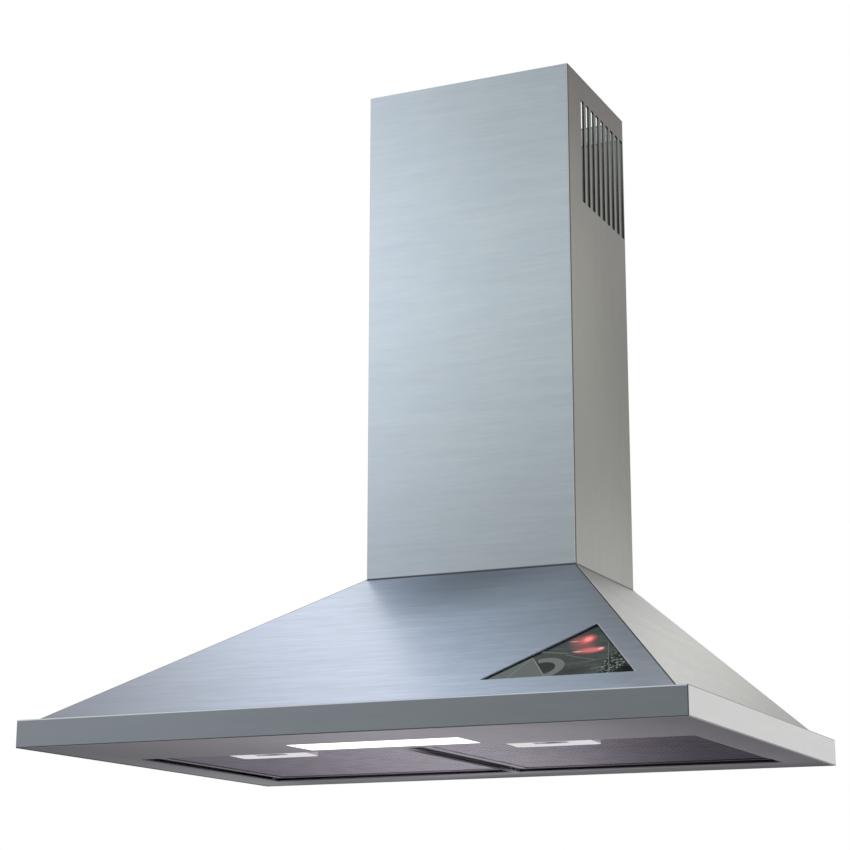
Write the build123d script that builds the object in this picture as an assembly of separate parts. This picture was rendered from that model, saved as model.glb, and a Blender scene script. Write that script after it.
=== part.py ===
"""Wall-hung chimney range hood, 600 mm class.

Millimetres. X runs left to right as the cook sees it, Y runs back to the wall, Z is up.
The origin is on the wall plane, in the hood's middle, level with the underside of its rim.
"""
from build123d import *
import math
import os

os.makedirs("parts", exist_ok=True)

# ------------------------------------------------------------------ overall sizes
HOOD_WIDTH = 600.0
HOOD_DEPTH = 450.0
RIM_HEIGHT = 24.0
CANOPY_RISE = 154.0  # from the rim's top to the chimney's foot
RIM_LIP_SIDE = 12.0  # flat ledge beside the canopy's foot
RIM_LIP_FRONT = 11.0
CHIMNEY_WIDTH = 214.0
CHIMNEY_DEPTH = 164.0
CHIMNEY_HEIGHT = 496.0

# ------------------------------------------------------------------ sheet metal
SHEET = 1.0  # canopy, rim and underside
COVER_SHEET = 0.8  # chimney covers
RIM_BEND = 1.4
COVER_BEND = 1.8
WELD_SEAM = 0.25  # visible line where canopy panels meet
SEAM = 0.4  # line between parts that stand on one another
RIM_OVERLAP = 8.0  # how far the rim's lip runs in under the canopy
WALL_RELIEF = 0.5  # chimney covers stand this far off the wall
OVERCUT = 1.0  # how far a cutter runs past the face that it cuts

# ------------------------------------------------------------------ underside
UNDERSIDE_RISE = 0.5  # underside sheet above the rim's bottom edge
UNDERSIDE_GAP = 0.5
UNDERSIDE_FLANGE = 12.0
FRONT_BORDER = 139.0  # rim front to the filters, holds the lamp
REAR_BORDER = 46.0
SIDE_BORDER = 38.0
CENTRE_BAR = 7.0

# ------------------------------------------------------------------ grease filters
FILTER_THICKNESS = 9.0
FILTER_RECESS = 3.0  # filter face above the underside sheet's bottom
FILTER_GAP = 2.0
FILTER_SHEET = 0.8
FILTER_LIP = 8.0
MESH_THICKNESS = 0.8
CORE_LAYERS = 5
CORE_LAYER = 0.6
FIT = 0.2  # clearance of pieces laid into a frame
PIN_RADIUS = 1.5
PIN_RUNNING = 0.05
PIN_INSET_Y = 3.5  # hinge pin from the filter's rear edge
PIN_INSET_Z = 3.0
PIN_REACH = 5.0
HINGE_PLATE = 1.6
HINGE_PLATE_WIDTH = 11.0
HINGE_PLATE_STEP = 1.0  # from the opening's edge to the hinge plate
HINGE_PLATE_CROWN = 4.0  # plate above the pin
HINGE_FOOT_OUTER = 6.0
HINGE_FOOT_INNER = 0.6
RUNNING_GAP = 0.3  # between a latch and what it stops short of

HANDLE_WIDTH = 76.0
HANDLE_DEPTH = 30.0
HANDLE_FRONT_DROP = 2.8
HANDLE_REAR_DROP = 3.4
HANDLE_CORNER = 6.0
POCKET_WIDTH = 50.0
POCKET_HEIGHT = 6.6
POCKET_WALL = 1.0
RECESS_WIDTH = 31.0
RECESS_DEPTH = 10.0
RECESS_SETBACK = 3.0
LATCH_TRAVEL = 6.0
LATCH_WIDTH = 42.0
LATCH_DEPTH = 13.0
LATCH_FREE = 0.4
SPRING_SHUT = 4.6  # a latch spring when the latch is drawn right back
TONGUE_WIDTH = 20.0
TONGUE_HEIGHT = 2.4
TONGUE_RISE = 3.2  # tongue's underside above the filter's bottom
GRIP_WIDTH = 27.0
GRIP_THICKNESS = 1.6
GRIP_SETBACK = 0.9  # behind the latch's front
GRIP_RAISE = 0.6  # above the handle's lowest edge
SPRING_RADIUS = 1.8
SPRING_WIRE = 0.5
RAIL_DEPTH = 8.5
RAIL_HEIGHT = 5.0

# ------------------------------------------------------------------ lamp
LAMP_WIDTH = 159.0
LAMP_DEPTH = 49.0
LAMP_FRONT = 76.0  # rim front to the lamp window
LAMP_GAP = 0.6
LAMP_BOX_MARGIN = 4.4
LAMP_BOX_HEIGHT = 45.0
LAMP_BOX_SHEET = 0.8
LAMP_BOX_FLANGE = 6.0
LAMP_COVER = 2.0
LAMP_SKIRT = 6.0
LAMP_SKIRT_WALL = 1.5
LAMP_COVER_EDGE = 1.5
LAMP_PIN_RADIUS = 1.0
LAMP_PIN_INSET = 3.0
LAMP_PIN_RISE = 2.5
LAMP_PIN_REACH = 4.0
LAMP_EAR_GAP = 1.0
LAMP_EAR_DEPTH = 6.0
LAMP_EAR_CROWN = 4.0  # ear above the pin
BULB_RADIUS = 17.5
BULB_LENGTH = 100.0
BULB_CAP_RADIUS = 6.8
BULB_CAP_LENGTH = 20.0
BULB_CAP_PROUD = 3.0  # cap outside its holder
BULB_CONTACT = 2.0
BULB_NECK_STEP = 0.6
HOLDER_RADIUS = 12.5
HOLDER_LENGTH = 32.0
HOLDER_RIM = 1.5
HOLDER_RIM_START = 6.0
HOLDER_RIM_WIDTH = 4.0
REFLECTOR_RADIUS = 20.0
REFLECTOR_SHEET = 0.8

# ------------------------------------------------------------------ control panel
WINDOW_SIDE = 131.0  # equilateral opening in the front panel
WINDOW_RISE = 35.9  # up the slope, from the canopy's foot to the window's base
WINDOW_FROM_HIP = 23.6  # window's nearest corner, in from the canopy's hip edge
WINDOW_CORNER = 1.2
GASKET = 0.6
GLASS = 3.0
GLASS_OVERLAP = 8.0
GLASS_CORNER = 12.0
HOUSING_MARGIN = 14.0
HOUSING_DEPTH = 16.0
HOUSING_WALL = 2.0
HOUSING_CAVITY_MARGIN = 5.0
BOARD = 1.6
BOARD_SETBACK = 6.0  # glass back to board front
BOARD_MARGIN = 4.5
STUD_RADIUS = 1.5
STUD_REACH = 10.0  # from the window's corner to the stud's axis
STUD_PROUD = 1.0  # beyond its nut
POST_RADIUS = 3.0
POST_INSET = 28.0  # from the window's corner to the post's axis
NUT_RADIUS = 3.2
NUT_HEIGHT = 2.4
TOUCH_RADIUS = 4.0
TOUCH_WALL = 1.0
TOUCH_COUNT = 4
TOUCH_PITCH = 22.0
TOUCH_LINE = -20.0  # below the window's middle
CHIP_HEIGHT = 2.0
CHIPS = ((-18.0, -24.0, 12.0, 12.0), (6.0, -24.0, 18.0, 8.0), (0.0, -4.0, 10.0, 10.0))  # middle, then size
LED_BARS = ((-2.0, 23.6, 18.0), (4.5, 45.6, 26.0))  # middle, then depth below the corner, then length
LED_HEIGHT = 5.0
LED_DEPTH = 5.5

# ------------------------------------------------------------------ chimney vents
VENT_COUNT = 9
VENT_PITCH = 14.4
VENT_WIDTH = 8.5
VENT_HEIGHT = 107.0
VENT_CORNER = 1.2
VENT_FROM_TOP = 24.0
VENT_FRONT = 36.5  # chimney front to the first vent's near edge
COVER_GAP = 0.5  # between the two covers
COVER_RETURN = 46.0
UPPER_TOP_STEP = 2.0
BRACKET_SHEET = 1.5
BRACKET_HEIGHT = 18.0
BRACKET_FROM_TOP = 1.0
BRACKET_EAR = 30.0
BRACKET_HOLE = 2.75
BRACKET_SPACING = 80.0
BRACKET_RETURN_GAP = 4.0  # between the wall strip and the covers' returns
FOOT_TAB = 10.0  # angle tabs that hold the lower cover's foot
FOOT_TAB_LENGTH = 80.0

# ------------------------------------------------------------------ wall fixing
HANG_HOLE = 4.0
HANG_SPACING = 200.0
HANG_BELOW_TOP = 28.0
FIX_HOLE = 2.5
FIX_SPACING = 460.0
FIX_HEIGHT = 45.0

# ------------------------------------------------------------------ blower
WHEEL_RADIUS = 58.0
WHEEL_WIDTH = 110.0
BLOWER_ABOVE_FILTERS = 7.5
BLOWER_OFF_BACK = 11.0
BLADE_COUNT = 28
BLADE_CHORD = 11.0
BLADE_THICKNESS = 1.0
BLADE_TILT = 35.0
WHEEL_DISC = 2.0
WHEEL_RIM = 4.5
HUB_RADIUS = 9.0
HUB_LENGTH = 11.0
HUB_FAR = 3.0  # hub on the disc's other side
BLADE_FROM_EDGE = 0.5
IMPELLER_NUT_RADIUS = 6.5
IMPELLER_NUT_HEIGHT = 3.5
VOLUTE_GAP = 8.0  # wheel to scroll where the scroll starts
VOLUTE_STEP = 8.0
SHELL = 2.0
SHELL_SIDE_GAP = 7.0
INLET_STEP = 8.0  # inlet's radius, less than the wheel's
INLET_RING = 2.0
INLET_RING_REACH = 2.0
EAR_REACH = 9.0
EAR_WIDTH = 14.0
EAR_THICKNESS = 3.0
SHAFT_RADIUS = 4.0
SHAFT_RUNNING = 0.03
SHAFT_HOLE_MARGIN = 1.0
SHAFT_PROUD = 5.0  # beyond the hub, for the nut
SHAFT_TAIL = 1.0
MOTOR_RADIUS = 38.0
MOTOR_WALL = 1.5
MOTOR_LENGTH = 48.0
MOTOR_FROM_DISC = 8.0
STATOR_LENGTH = 26.0
STATOR_GAP = 0.1
STATOR_BORE = 24.0
WINDING_LENGTH = 5.5
WINDING_INSET = 3.4  # inside the stator's outer edge
WINDING_STEP = 1.5  # outside the stator's bore
AIR_GAP = 0.6
BEARING_RADIUS = 8.0
BEARING_WIDTH = 6.0
BEARING_BOSS = 2.0
GROMMET_HEIGHT = 3.0
GROMMET_RADIUS = 4.0
BRACKET_RING_WIDTH = 9.0
ARM_WIDTH = 9.0
ARM_COUNT = 3
BOSS_RADIUS = 14.0

# ------------------------------------------------------------------ outlet
COLLAR_RADIUS = 60.0
COLLAR_WALL = 2.0
COLLAR_HEIGHT = 48.0
COLLAR_REARWARD = 2.0  # behind the chimney's middle
COLLAR_FLANGE = 4.0
COLLAR_FLANGE_SHEET = 2.0
COLLAR_SCREW_INSET = 6.0
FLAP_RISE = 30.0  # flap pin above the collar's flange
FLAP_SHEET = 1.2
FLAP_GAP = 1.0
FLAP_BARREL = 3.0
FLAP_BARREL_GAP = 0.4
FLAP_BARREL_LENGTH = 14.0
FLAP_BARREL_PITCH = 25.0
FLAP_PIN_RADIUS = 1.5
FLAP_SEAT = 2.0

# ------------------------------------------------------------------ electrical
BOX_SIZE = (58.0, 30.0, 56.0)
BOX_LEFT = 96.0
BOX_BASE_Z = 58.0
BOX_WALL = 2.0
CAPACITOR_RADIUS = 13.0
CAPACITOR_LENGTH = 52.0
CAPACITOR_CLIP = 1.6
CLIP_HEIGHT = 12.0
LEAD_RADIUS = 2.5
LEAD_BEND = 0.45  # share of the shorter run that each bend of a lead takes
CONTROL_LEAD_IN = (18.0, -10.0)  # from the terminal box's middle, along X and Z
LAMP_LEAD_IN = (0.0, -18.0)
MOTOR_LEAD_IN = (-16.0, 8.0)
GLAND_RADIUS = 8.0
GLAND_BORE = 3.75
GLAND_HEIGHT = 14.0
GLAND_BELOW = 4.0
GLAND_GROOVE = 2.0
GLAND_X = 84.0
GLAND_TO_WALL = 24.0
SCREW_RADIUS = 2.0
SCREW_HEAD = 3.8
SCREW_HEAD_HEIGHT = 2.2

# ------------------------------------------------------------------ places worked out from the sizes
CHIMNEY_FOOT = RIM_HEIGHT + CANOPY_RISE
TOP = CHIMNEY_FOOT + CHIMNEY_HEIGHT
FOOT_HALF = HOOD_WIDTH / 2 - RIM_LIP_SIDE
FOOT_FRONT = HOOD_DEPTH - RIM_LIP_FRONT
SIDE_RUN = FOOT_HALF - CHIMNEY_WIDTH / 2
FRONT_RUN = FOOT_FRONT - CHIMNEY_DEPTH
SIDE_SHEET_ACROSS = SHEET * math.hypot(SIDE_RUN, CANOPY_RISE) / CANOPY_RISE
FRONT_SHEET_ACROSS = SHEET * math.hypot(FRONT_RUN, CANOPY_RISE) / CANOPY_RISE
FRONT_SLOPE = math.atan2(CANOPY_RISE, FRONT_RUN)
SHEET_TOP = UNDERSIDE_RISE + SHEET

FILTER_OPENING_FRONT = -(HOOD_DEPTH - FRONT_BORDER)
FILTER_OPENING_REAR = -REAR_BORDER
FILTER_OPENING_OUTER = HOOD_WIDTH / 2 - SIDE_BORDER
FILTER_OPENING_INNER = CENTRE_BAR / 2
FILTER_FRONT = FILTER_OPENING_FRONT + FILTER_GAP
FILTER_REAR = FILTER_OPENING_REAR - FILTER_GAP
FILTER_WIDTH = FILTER_OPENING_OUTER - FILTER_OPENING_INNER - 2 * FILTER_GAP
FILTER_MIDDLE = (FILTER_OPENING_OUTER + FILTER_OPENING_INNER) / 2
FILTER_BASE = UNDERSIDE_RISE + FILTER_RECESS
FILTER_TOP = FILTER_BASE + FILTER_THICKNESS
FILTER_PIN_Y = FILTER_REAR - PIN_INSET_Y
FILTER_PIN_Z = FILTER_BASE + PIN_INSET_Z
TONGUE_BASE = FILTER_BASE + TONGUE_RISE
POCKET_START = FILTER_SHEET + FIT  # behind the filter's front edge
POCKET_DEPTH = POCKET_START + 2 * POCKET_WALL + LATCH_FREE + LATCH_DEPTH + LATCH_TRAVEL + SPRING_SHUT

LAMP_OPENING_FRONT = -(HOOD_DEPTH - LAMP_FRONT)
LAMP_OPENING_REAR = LAMP_OPENING_FRONT + LAMP_DEPTH
LAMP_MIDDLE = (LAMP_OPENING_FRONT + LAMP_OPENING_REAR) / 2
LAMP_COVER_FRONT = LAMP_OPENING_FRONT + LAMP_GAP
LAMP_COVER_REAR = LAMP_OPENING_REAR - LAMP_GAP
LAMP_PIN_Y = LAMP_COVER_FRONT + LAMP_PIN_INSET
LAMP_PIN_Z = UNDERSIDE_RISE + LAMP_PIN_RISE
LAMP_BOX_HALF = LAMP_WIDTH / 2 + LAMP_BOX_MARGIN
LAMP_BOX_TOP = SHEET_TOP + LAMP_BOX_HEIGHT
BULB_Z = LAMP_BOX_TOP - LAMP_BOX_SHEET - REFLECTOR_RADIUS - REFLECTOR_SHEET - SEAM

VOLUTE_START = WHEEL_RADIUS + VOLUTE_GAP
VOLUTE_REAR = VOLUTE_START + 2.5 * VOLUTE_STEP  # the scroll's reach behind the wheel's axis
VOLUTE_BOTTOM = VOLUTE_START + 1.5 * VOLUTE_STEP  # and below it
INLET_RADIUS = WHEEL_RADIUS - INLET_STEP
STATOR_OUTER = MOTOR_RADIUS - MOTOR_WALL - STATOR_GAP
WINDING_OUTER = STATOR_OUTER - WINDING_INSET
WINDING_INNER = STATOR_BORE + WINDING_STEP
WHEEL_Y = -(SHEET + BLOWER_OFF_BACK + SHELL + VOLUTE_REAR)
WHEEL_Z = FILTER_TOP + BLOWER_ABOVE_FILTERS + SHELL + VOLUTE_BOTTOM
SHELL_HALF = WHEEL_WIDTH / 2 + SHELL_SIDE_GAP + SHELL
SHELL_TOP = CHIMNEY_FOOT - SHEET
PLATE_TOP = CHIMNEY_FOOT
COLLAR_Y = COLLAR_REARWARD - CHIMNEY_DEPTH / 2
COLLAR_BORE = COLLAR_RADIUS - COLLAR_WALL
THROAT_FRONT = COLLAR_Y - COLLAR_BORE
THROAT_REAR = WHEEL_Y + VOLUTE_REAR
FLAP_Z = PLATE_TOP + COLLAR_FLANGE_SHEET + FLAP_RISE
GLAND_Y = -GLAND_TO_WALL
BOX_FRONT = -SHEET - BOX_SIZE[1]
BOX_MIDDLE_X = BOX_LEFT + BOX_SIZE[0] / 2
BOX_MIDDLE_Z = BOX_BASE_Z + BOX_SIZE[2] / 2

WINDOW_HEIGHT = WINDOW_SIDE * math.sqrt(3) / 2
HIP_LEAN = SIDE_RUN / math.hypot(FRONT_RUN, CANOPY_RISE)  # hip's way in for each step up the slope
HIP_AT_BASE = FOOT_HALF - HIP_LEAN * WINDOW_RISE
HIP_AT_CORNER = HIP_AT_BASE - HIP_LEAN * WINDOW_HEIGHT
WINDOW_X = min(HIP_AT_BASE - WINDOW_SIDE / 2, HIP_AT_CORNER) - WINDOW_FROM_HIP
CENTROID_RISE = WINDOW_RISE + WINDOW_HEIGHT / 3
CORNER_REACH = WINDOW_HEIGHT * 2 / 3
GASKET_BACK = -SHEET - GASKET
GLASS_BACK = GASKET_BACK - GLASS
HOUSING_BACK = GLASS_BACK - HOUSING_DEPTH
BOARD_FRONT = GLASS_BACK - BOARD_SETBACK
BOARD_BACK = BOARD_FRONT - BOARD
FRONT_FACE = Plane(
    origin=(WINDOW_X, -FOOT_FRONT + CENTROID_RISE * math.cos(FRONT_SLOPE),
            RIM_HEIGHT + CENTROID_RISE * math.sin(FRONT_SLOPE)),
    x_dir=(1, 0, 0),
    z_dir=(0, -math.sin(FRONT_SLOPE), math.cos(FRONT_SLOPE)),
)

UPPER_INSET = COVER_SHEET + COVER_GAP
UPPER_BASE = CHIMNEY_FOOT + FOOT_TAB + RUNNING_GAP
UPPER_TOP = TOP - UPPER_TOP_STEP


# ------------------------------------------------------------------ small helpers
def block(x, y, z):
    """Box between a low and a high limit along each axis."""
    size = [high - low for low, high in (x, y, z)]
    middle = [(high + low) / 2 for low, high in (x, y, z)]
    return Pos(*middle) * Box(*size)


def around(middle, width):
    """Low and high limits of a width about its middle."""
    return middle - width / 2, middle + width / 2


def rod_x(radius, x, y, z):
    """Round bar along X between the limits x."""
    return Pos((x[0] + x[1]) / 2, y, z) * Rot(0, 90, 0) * Cylinder(radius, x[1] - x[0])


def rod_y(radius, x, y, z):
    """Round bar along Y between the limits y."""
    return Pos(x, (y[0] + y[1]) / 2, z) * Rot(90, 0, 0) * Cylinder(radius, y[1] - y[0])


def rod_z(radius, x, y, z):
    """Round bar along Z between the limits z."""
    return Pos(x, y, (z[0] + z[1]) / 2) * Cylinder(radius, z[1] - z[0])


def rounded_block(x, y, z, corner):
    """Box with its upright edges rounded."""
    width, depth = x[1] - x[0], y[1] - y[0]
    outline = Pos((x[0] + x[1]) / 2, (y[0] + y[1]) / 2, z[0]) * RectangleRounded(width, depth, corner)
    return extrude(outline, amount=z[1] - z[0])


def hexahedron(outer, inner):
    """Solid between a four-sided face and its matching inner face."""
    sides = [[outer[i], outer[(i + 1) % 4], inner[(i + 1) % 4], inner[i]] for i in range(4)]
    faces = [Face(Wire.make_polygon(corners)) for corners in [outer, inner] + sides]
    return Part() + Solid(Shell(faces))


def grown(limits, amount=OVERCUT):
    """Limits let out by an amount at both ends."""
    return limits[0] - amount, limits[1] + amount


def inset(limits, amount):
    """Limits drawn in by an amount at both ends."""
    return limits[0] + amount, limits[1] - amount


def mirrored(shape):
    """The same shape on the hood's other side."""
    return mirror(shape, about=Plane.YZ)


def write(node, *solids):
    """Write one piece, or one group of like pieces, to its own file."""
    bodies = [body for shape in solids for body in shape.solids()]
    shape = bodies[0] if len(bodies) == 1 else Compound(children=bodies)
    shape.label = node
    export_step(shape, f"parts/{node}.step")
    print(f"{node}: {len(bodies)} solid(s)")


# ------------------------------------------------------------------ canopy
def canopy_corners(inset_side, inset_front, seam):
    """Front corners of the canopy at its foot and at its top, on the right."""
    foot = (FOOT_HALF - inset_side - seam, -(FOOT_FRONT - inset_front), RIM_HEIGHT)
    top = (CHIMNEY_WIDTH / 2 - inset_side - seam, -(CHIMNEY_DEPTH - inset_front), CHIMNEY_FOOT)
    return foot, top


def front_panel():
    """Sloping front sheet with the control window and its three weld studs."""
    sheets = []
    for inset_side, inset_front in ((0, 0), (SIDE_SHEET_ACROSS, FRONT_SHEET_ACROSS)):
        foot, top = canopy_corners(inset_side, inset_front, WELD_SEAM)
        sheets.append([(-foot[0], *foot[1:]), foot, top, (-top[0], *top[1:])])
    panel = hexahedron(*sheets)
    window = extrude(FRONT_FACE * triangle(0, WINDOW_CORNER), amount=2 * SHEET, both=True)
    stud = Cylinder(STUD_RADIUS, stud_length(), align=(Align.CENTER, Align.CENTER, Align.MAX))
    return panel - window + [FRONT_FACE * Pos(x, y, -SHEET) * stud for x, y in stud_places()]


def side_panel():
    """Right-hand sloping sheet."""
    sheets = []
    for inset_side, inset_front in ((0, 0), (SIDE_SHEET_ACROSS, FRONT_SHEET_ACROSS)):
        foot, top = canopy_corners(inset_side, inset_front, 0)
        sheets.append([foot, (foot[0], -SHEET, foot[2]), (top[0], -SHEET, top[2]), top])
    return hexahedron(*sheets)


def back_panel():
    """Flat sheet against the wall, with its hanging and fixing holes."""
    half = HOOD_WIDTH / 2
    outline = Polyline(
        (-half, 0), (half, 0), (half, RIM_HEIGHT), (FOOT_HALF, RIM_HEIGHT),
        (CHIMNEY_WIDTH / 2, CHIMNEY_FOOT), (-CHIMNEY_WIDTH / 2, CHIMNEY_FOOT),
        (-FOOT_HALF, RIM_HEIGHT), (-half, RIM_HEIGHT), close=True,
    )
    panel = extrude(Plane.XZ * make_face(outline), amount=SHEET)
    hang_z = CHIMNEY_FOOT - HANG_BELOW_TOP
    through = grown((-SHEET, 0))
    holes = [rod_y(HANG_HOLE, side * HANG_SPACING / 2, through, hang_z) for side in (-1, 1)]
    holes += [rod_y(FIX_HOLE, side * FIX_SPACING / 2, through, FIX_HEIGHT) for side in (-1, 1)]
    return panel - holes


def top_plate():
    """Sheet that closes the canopy's top, with tabs that the lower chimney cover is fixed to."""
    half = CHIMNEY_WIDTH / 2 - SIDE_SHEET_ACROSS - FIT
    front = -(CHIMNEY_DEPTH - FRONT_SHEET_ACROSS - FIT)
    plate = block((-half, half), (front, -SHEET - FIT), (PLATE_TOP - SHEET, PLATE_TOP))
    tab_outer = CHIMNEY_WIDTH / 2 - COVER_SHEET
    tab_y = around(-CHIMNEY_DEPTH / 2, FOOT_TAB_LENGTH)
    for side in (-1, 1):
        upright = sorted((side * tab_outer, side * (tab_outer - BRACKET_SHEET)))
        foot = sorted((side * tab_outer, side * (tab_outer - FOOT_TAB)))
        plate += block(upright, tab_y, (PLATE_TOP, PLATE_TOP + FOOT_TAB))
        plate += block(foot, tab_y, (PLATE_TOP, PLATE_TOP + SHEET))
    through = grown((PLATE_TOP - SHEET, PLATE_TOP))
    plate -= rod_z(COLLAR_BORE, 0, COLLAR_Y, through)
    plate -= rod_z(GLAND_RADIUS - GLAND_GROOVE, GLAND_X, GLAND_Y, through)
    return plate - [rod_z(SCREW_RADIUS, x, y, through) for x, y in top_screws()]


def rim_band():
    """Front and side band of the rim, folded in at its top to carry the canopy."""
    half = HOOD_WIDTH / 2
    band = rounded_block((-half, half), (-HOOD_DEPTH, HOOD_DEPTH), (0, RIM_HEIGHT), RIM_BEND)
    band &= block((-half, half), (-HOOD_DEPTH, -SHEET), (0, RIM_HEIGHT))
    band -= block((-half + SHEET, half - SHEET), (-HOOD_DEPTH + SHEET, SHEET), (-SHEET, RIM_HEIGHT - SHEET))
    lip = FOOT_HALF - RIM_OVERLAP
    band -= block((-lip, lip), (-FOOT_FRONT + RIM_OVERLAP, SHEET), (0, 2 * RIM_HEIGHT))
    top_edges = band.edges().filter_by(Axis.Z, reverse=True).group_by(Axis.Z)[-1]
    front_edge = top_edges.filter_by(Axis.X).sort_by(Axis.Y)[0]
    side_edges = top_edges.filter_by(Axis.Y).sort_by(Axis.X)
    arcs = top_edges.filter_by(GeomType.CIRCLE)
    return fillet([front_edge, side_edges[0], side_edges[-1]] + list(arcs), RIM_BEND / 2)


def underside_panel():
    """Sheet across the bottom with the filter and lamp openings, its edges folded up inside the rim."""
    half = HOOD_WIDTH / 2 - SHEET - UNDERSIDE_GAP
    front = -(HOOD_DEPTH - SHEET - UNDERSIDE_GAP)
    back = -SHEET - FIT
    tray = block((-half, half), (front, back), (UNDERSIDE_RISE, UNDERSIDE_RISE + UNDERSIDE_FLANGE))
    inside = inset((-half, half), SHEET), inset((front, back), SHEET)
    tray -= block(*inside, (SHEET_TOP, SHEET_TOP + UNDERSIDE_FLANGE))
    through = grown((UNDERSIDE_RISE, SHEET_TOP))
    opening_x = (FILTER_OPENING_INNER, FILTER_OPENING_OUTER)
    opening = block(opening_x, (FILTER_OPENING_FRONT, FILTER_OPENING_REAR), through)
    lamp = block(around(0, LAMP_WIDTH), (LAMP_OPENING_FRONT, LAMP_OPENING_REAR), through)
    return tray - [opening, mirrored(opening), lamp]


# ------------------------------------------------------------------ filter seats
def hinge_plate_limits(outer):
    """Where a filter's outer or inner hinge plate stands, along X, on the right."""
    if outer:
        start = FILTER_OPENING_OUTER + HINGE_PLATE_STEP
        return start, start + HINGE_PLATE
    end = FILTER_OPENING_INNER - HINGE_PLATE_STEP
    return end - HINGE_PLATE, end


def hinge_bracket(outer):
    """Upright plate with an open notch that one filter pin lies in, and its welded foot."""
    low, high = hinge_plate_limits(outer)
    top = FILTER_PIN_Z + PIN_RADIUS + HINGE_PLATE_CROWN
    plate = block((low, high), around(FILTER_PIN_Y, HINGE_PLATE_WIDTH), (SHEET_TOP, top))
    foot = (high, high + HINGE_FOOT_OUTER) if outer else (low - HINGE_FOOT_INNER, low)
    plate += block(foot, around(FILTER_PIN_Y, HINGE_PLATE_WIDTH), (SHEET_TOP, SHEET_TOP + HINGE_PLATE / 2))
    notch = PIN_RADIUS + PIN_RUNNING
    through = grown((low, high))
    plate -= rod_x(notch, through, FILTER_PIN_Y, FILTER_PIN_Z)
    return plate - block(through, around(FILTER_PIN_Y, 2 * notch), (FILTER_PIN_Z, top + OVERCUT))


def front_rail():
    """Folded strip in front of one filter, which its latch bears on."""
    x = (FILTER_OPENING_INNER, FILTER_OPENING_OUTER)
    y = (FILTER_OPENING_FRONT - RAIL_DEPTH, FILTER_OPENING_FRONT)
    rail = block(x, y, (SHEET_TOP, SHEET_TOP + RAIL_HEIGHT))
    hollow_z = (SHEET_TOP + COVER_SHEET, SHEET_TOP + RAIL_HEIGHT - COVER_SHEET)
    return rail - block(grown(x), (y[0] - OVERCUT, y[1] - COVER_SHEET), hollow_z)


# ------------------------------------------------------------------ one filter, built on the right
def filter_span():
    """The filter's limits along X and Y."""
    return around(FILTER_MIDDLE, FILTER_WIDTH), (FILTER_FRONT, FILTER_REAR)


def pocket_span(margin):
    """Limits of the latch pocket's outside along X and Y, grown by a margin."""
    x = around(FILTER_MIDDLE, POCKET_WIDTH + 2 * margin)
    return x, (FILTER_FRONT + POCKET_START - margin, FILTER_FRONT + POCKET_DEPTH + margin)


def tongue_hole(y):
    """Clear way for the latch's tongue along Y."""
    height = (TONGUE_BASE - LATCH_FREE, TONGUE_BASE + TONGUE_HEIGHT + LATCH_FREE)
    return block(around(FILTER_MIDDLE, TONGUE_WIDTH + 2 * LATCH_FREE), y, height)


def filter_frame():
    """Aluminium channel round the filter, with the two hinge pins at its rear corners."""
    x, y = filter_span()
    frame = block(x, y, (FILTER_BASE, FILTER_TOP))
    frame -= block(*[inset(limits, FILTER_SHEET) for limits in (x, y, (FILTER_BASE, FILTER_TOP))])
    frame -= block(inset(x, FILTER_LIP), inset(y, FILTER_LIP), grown((FILTER_BASE, FILTER_TOP)))
    pocket_x, pocket_y = pocket_span(FIT)
    frame -= block(pocket_x, pocket_y, (FILTER_BASE - OVERCUT, FILTER_BASE + POCKET_HEIGHT))
    frame -= tongue_hole((FILTER_FRONT - OVERCUT, FILTER_FRONT + FILTER_LIP))
    frame += rod_x(PIN_RADIUS, (x[0] - PIN_REACH, x[0] + FILTER_SHEET), FILTER_PIN_Y, FILTER_PIN_Z)
    frame += rod_x(PIN_RADIUS, (x[1] - FILTER_SHEET, x[1] + PIN_REACH), FILTER_PIN_Y, FILTER_PIN_Z)
    return frame


def filter_layer(low, high):
    """One layer of mesh that fills the frame, cut away round the latch pocket."""
    x, y = filter_span()
    layer = block(inset(x, FILTER_SHEET + FIT), inset(y, FILTER_SHEET + FIT), (low, high))
    pocket_x, pocket_y = pocket_span(FIT)
    below_pocket_top = (FILTER_BASE, FILTER_BASE + POCKET_HEIGHT + FIT)
    layer -= block(pocket_x, pocket_y, below_pocket_top)
    tongue_x = grown(around(FILTER_MIDDLE, TONGUE_WIDTH))
    return layer - block(tongue_x, (FILTER_FRONT, pocket_y[0] + OVERCUT), below_pocket_top)


def filter_core():
    """Stack of thin mesh layers above the visible one, evenly spread through the frame's depth."""
    low, high = FILTER_BASE + FILTER_SHEET + MESH_THICKNESS, FILTER_TOP - FILTER_SHEET
    step = (high - low - CORE_LAYER) / (CORE_LAYERS - 1)
    starts = [low + number * step for number in range(CORE_LAYERS)]
    return [filter_layer(start, start + CORE_LAYER) for start in starts]


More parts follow.
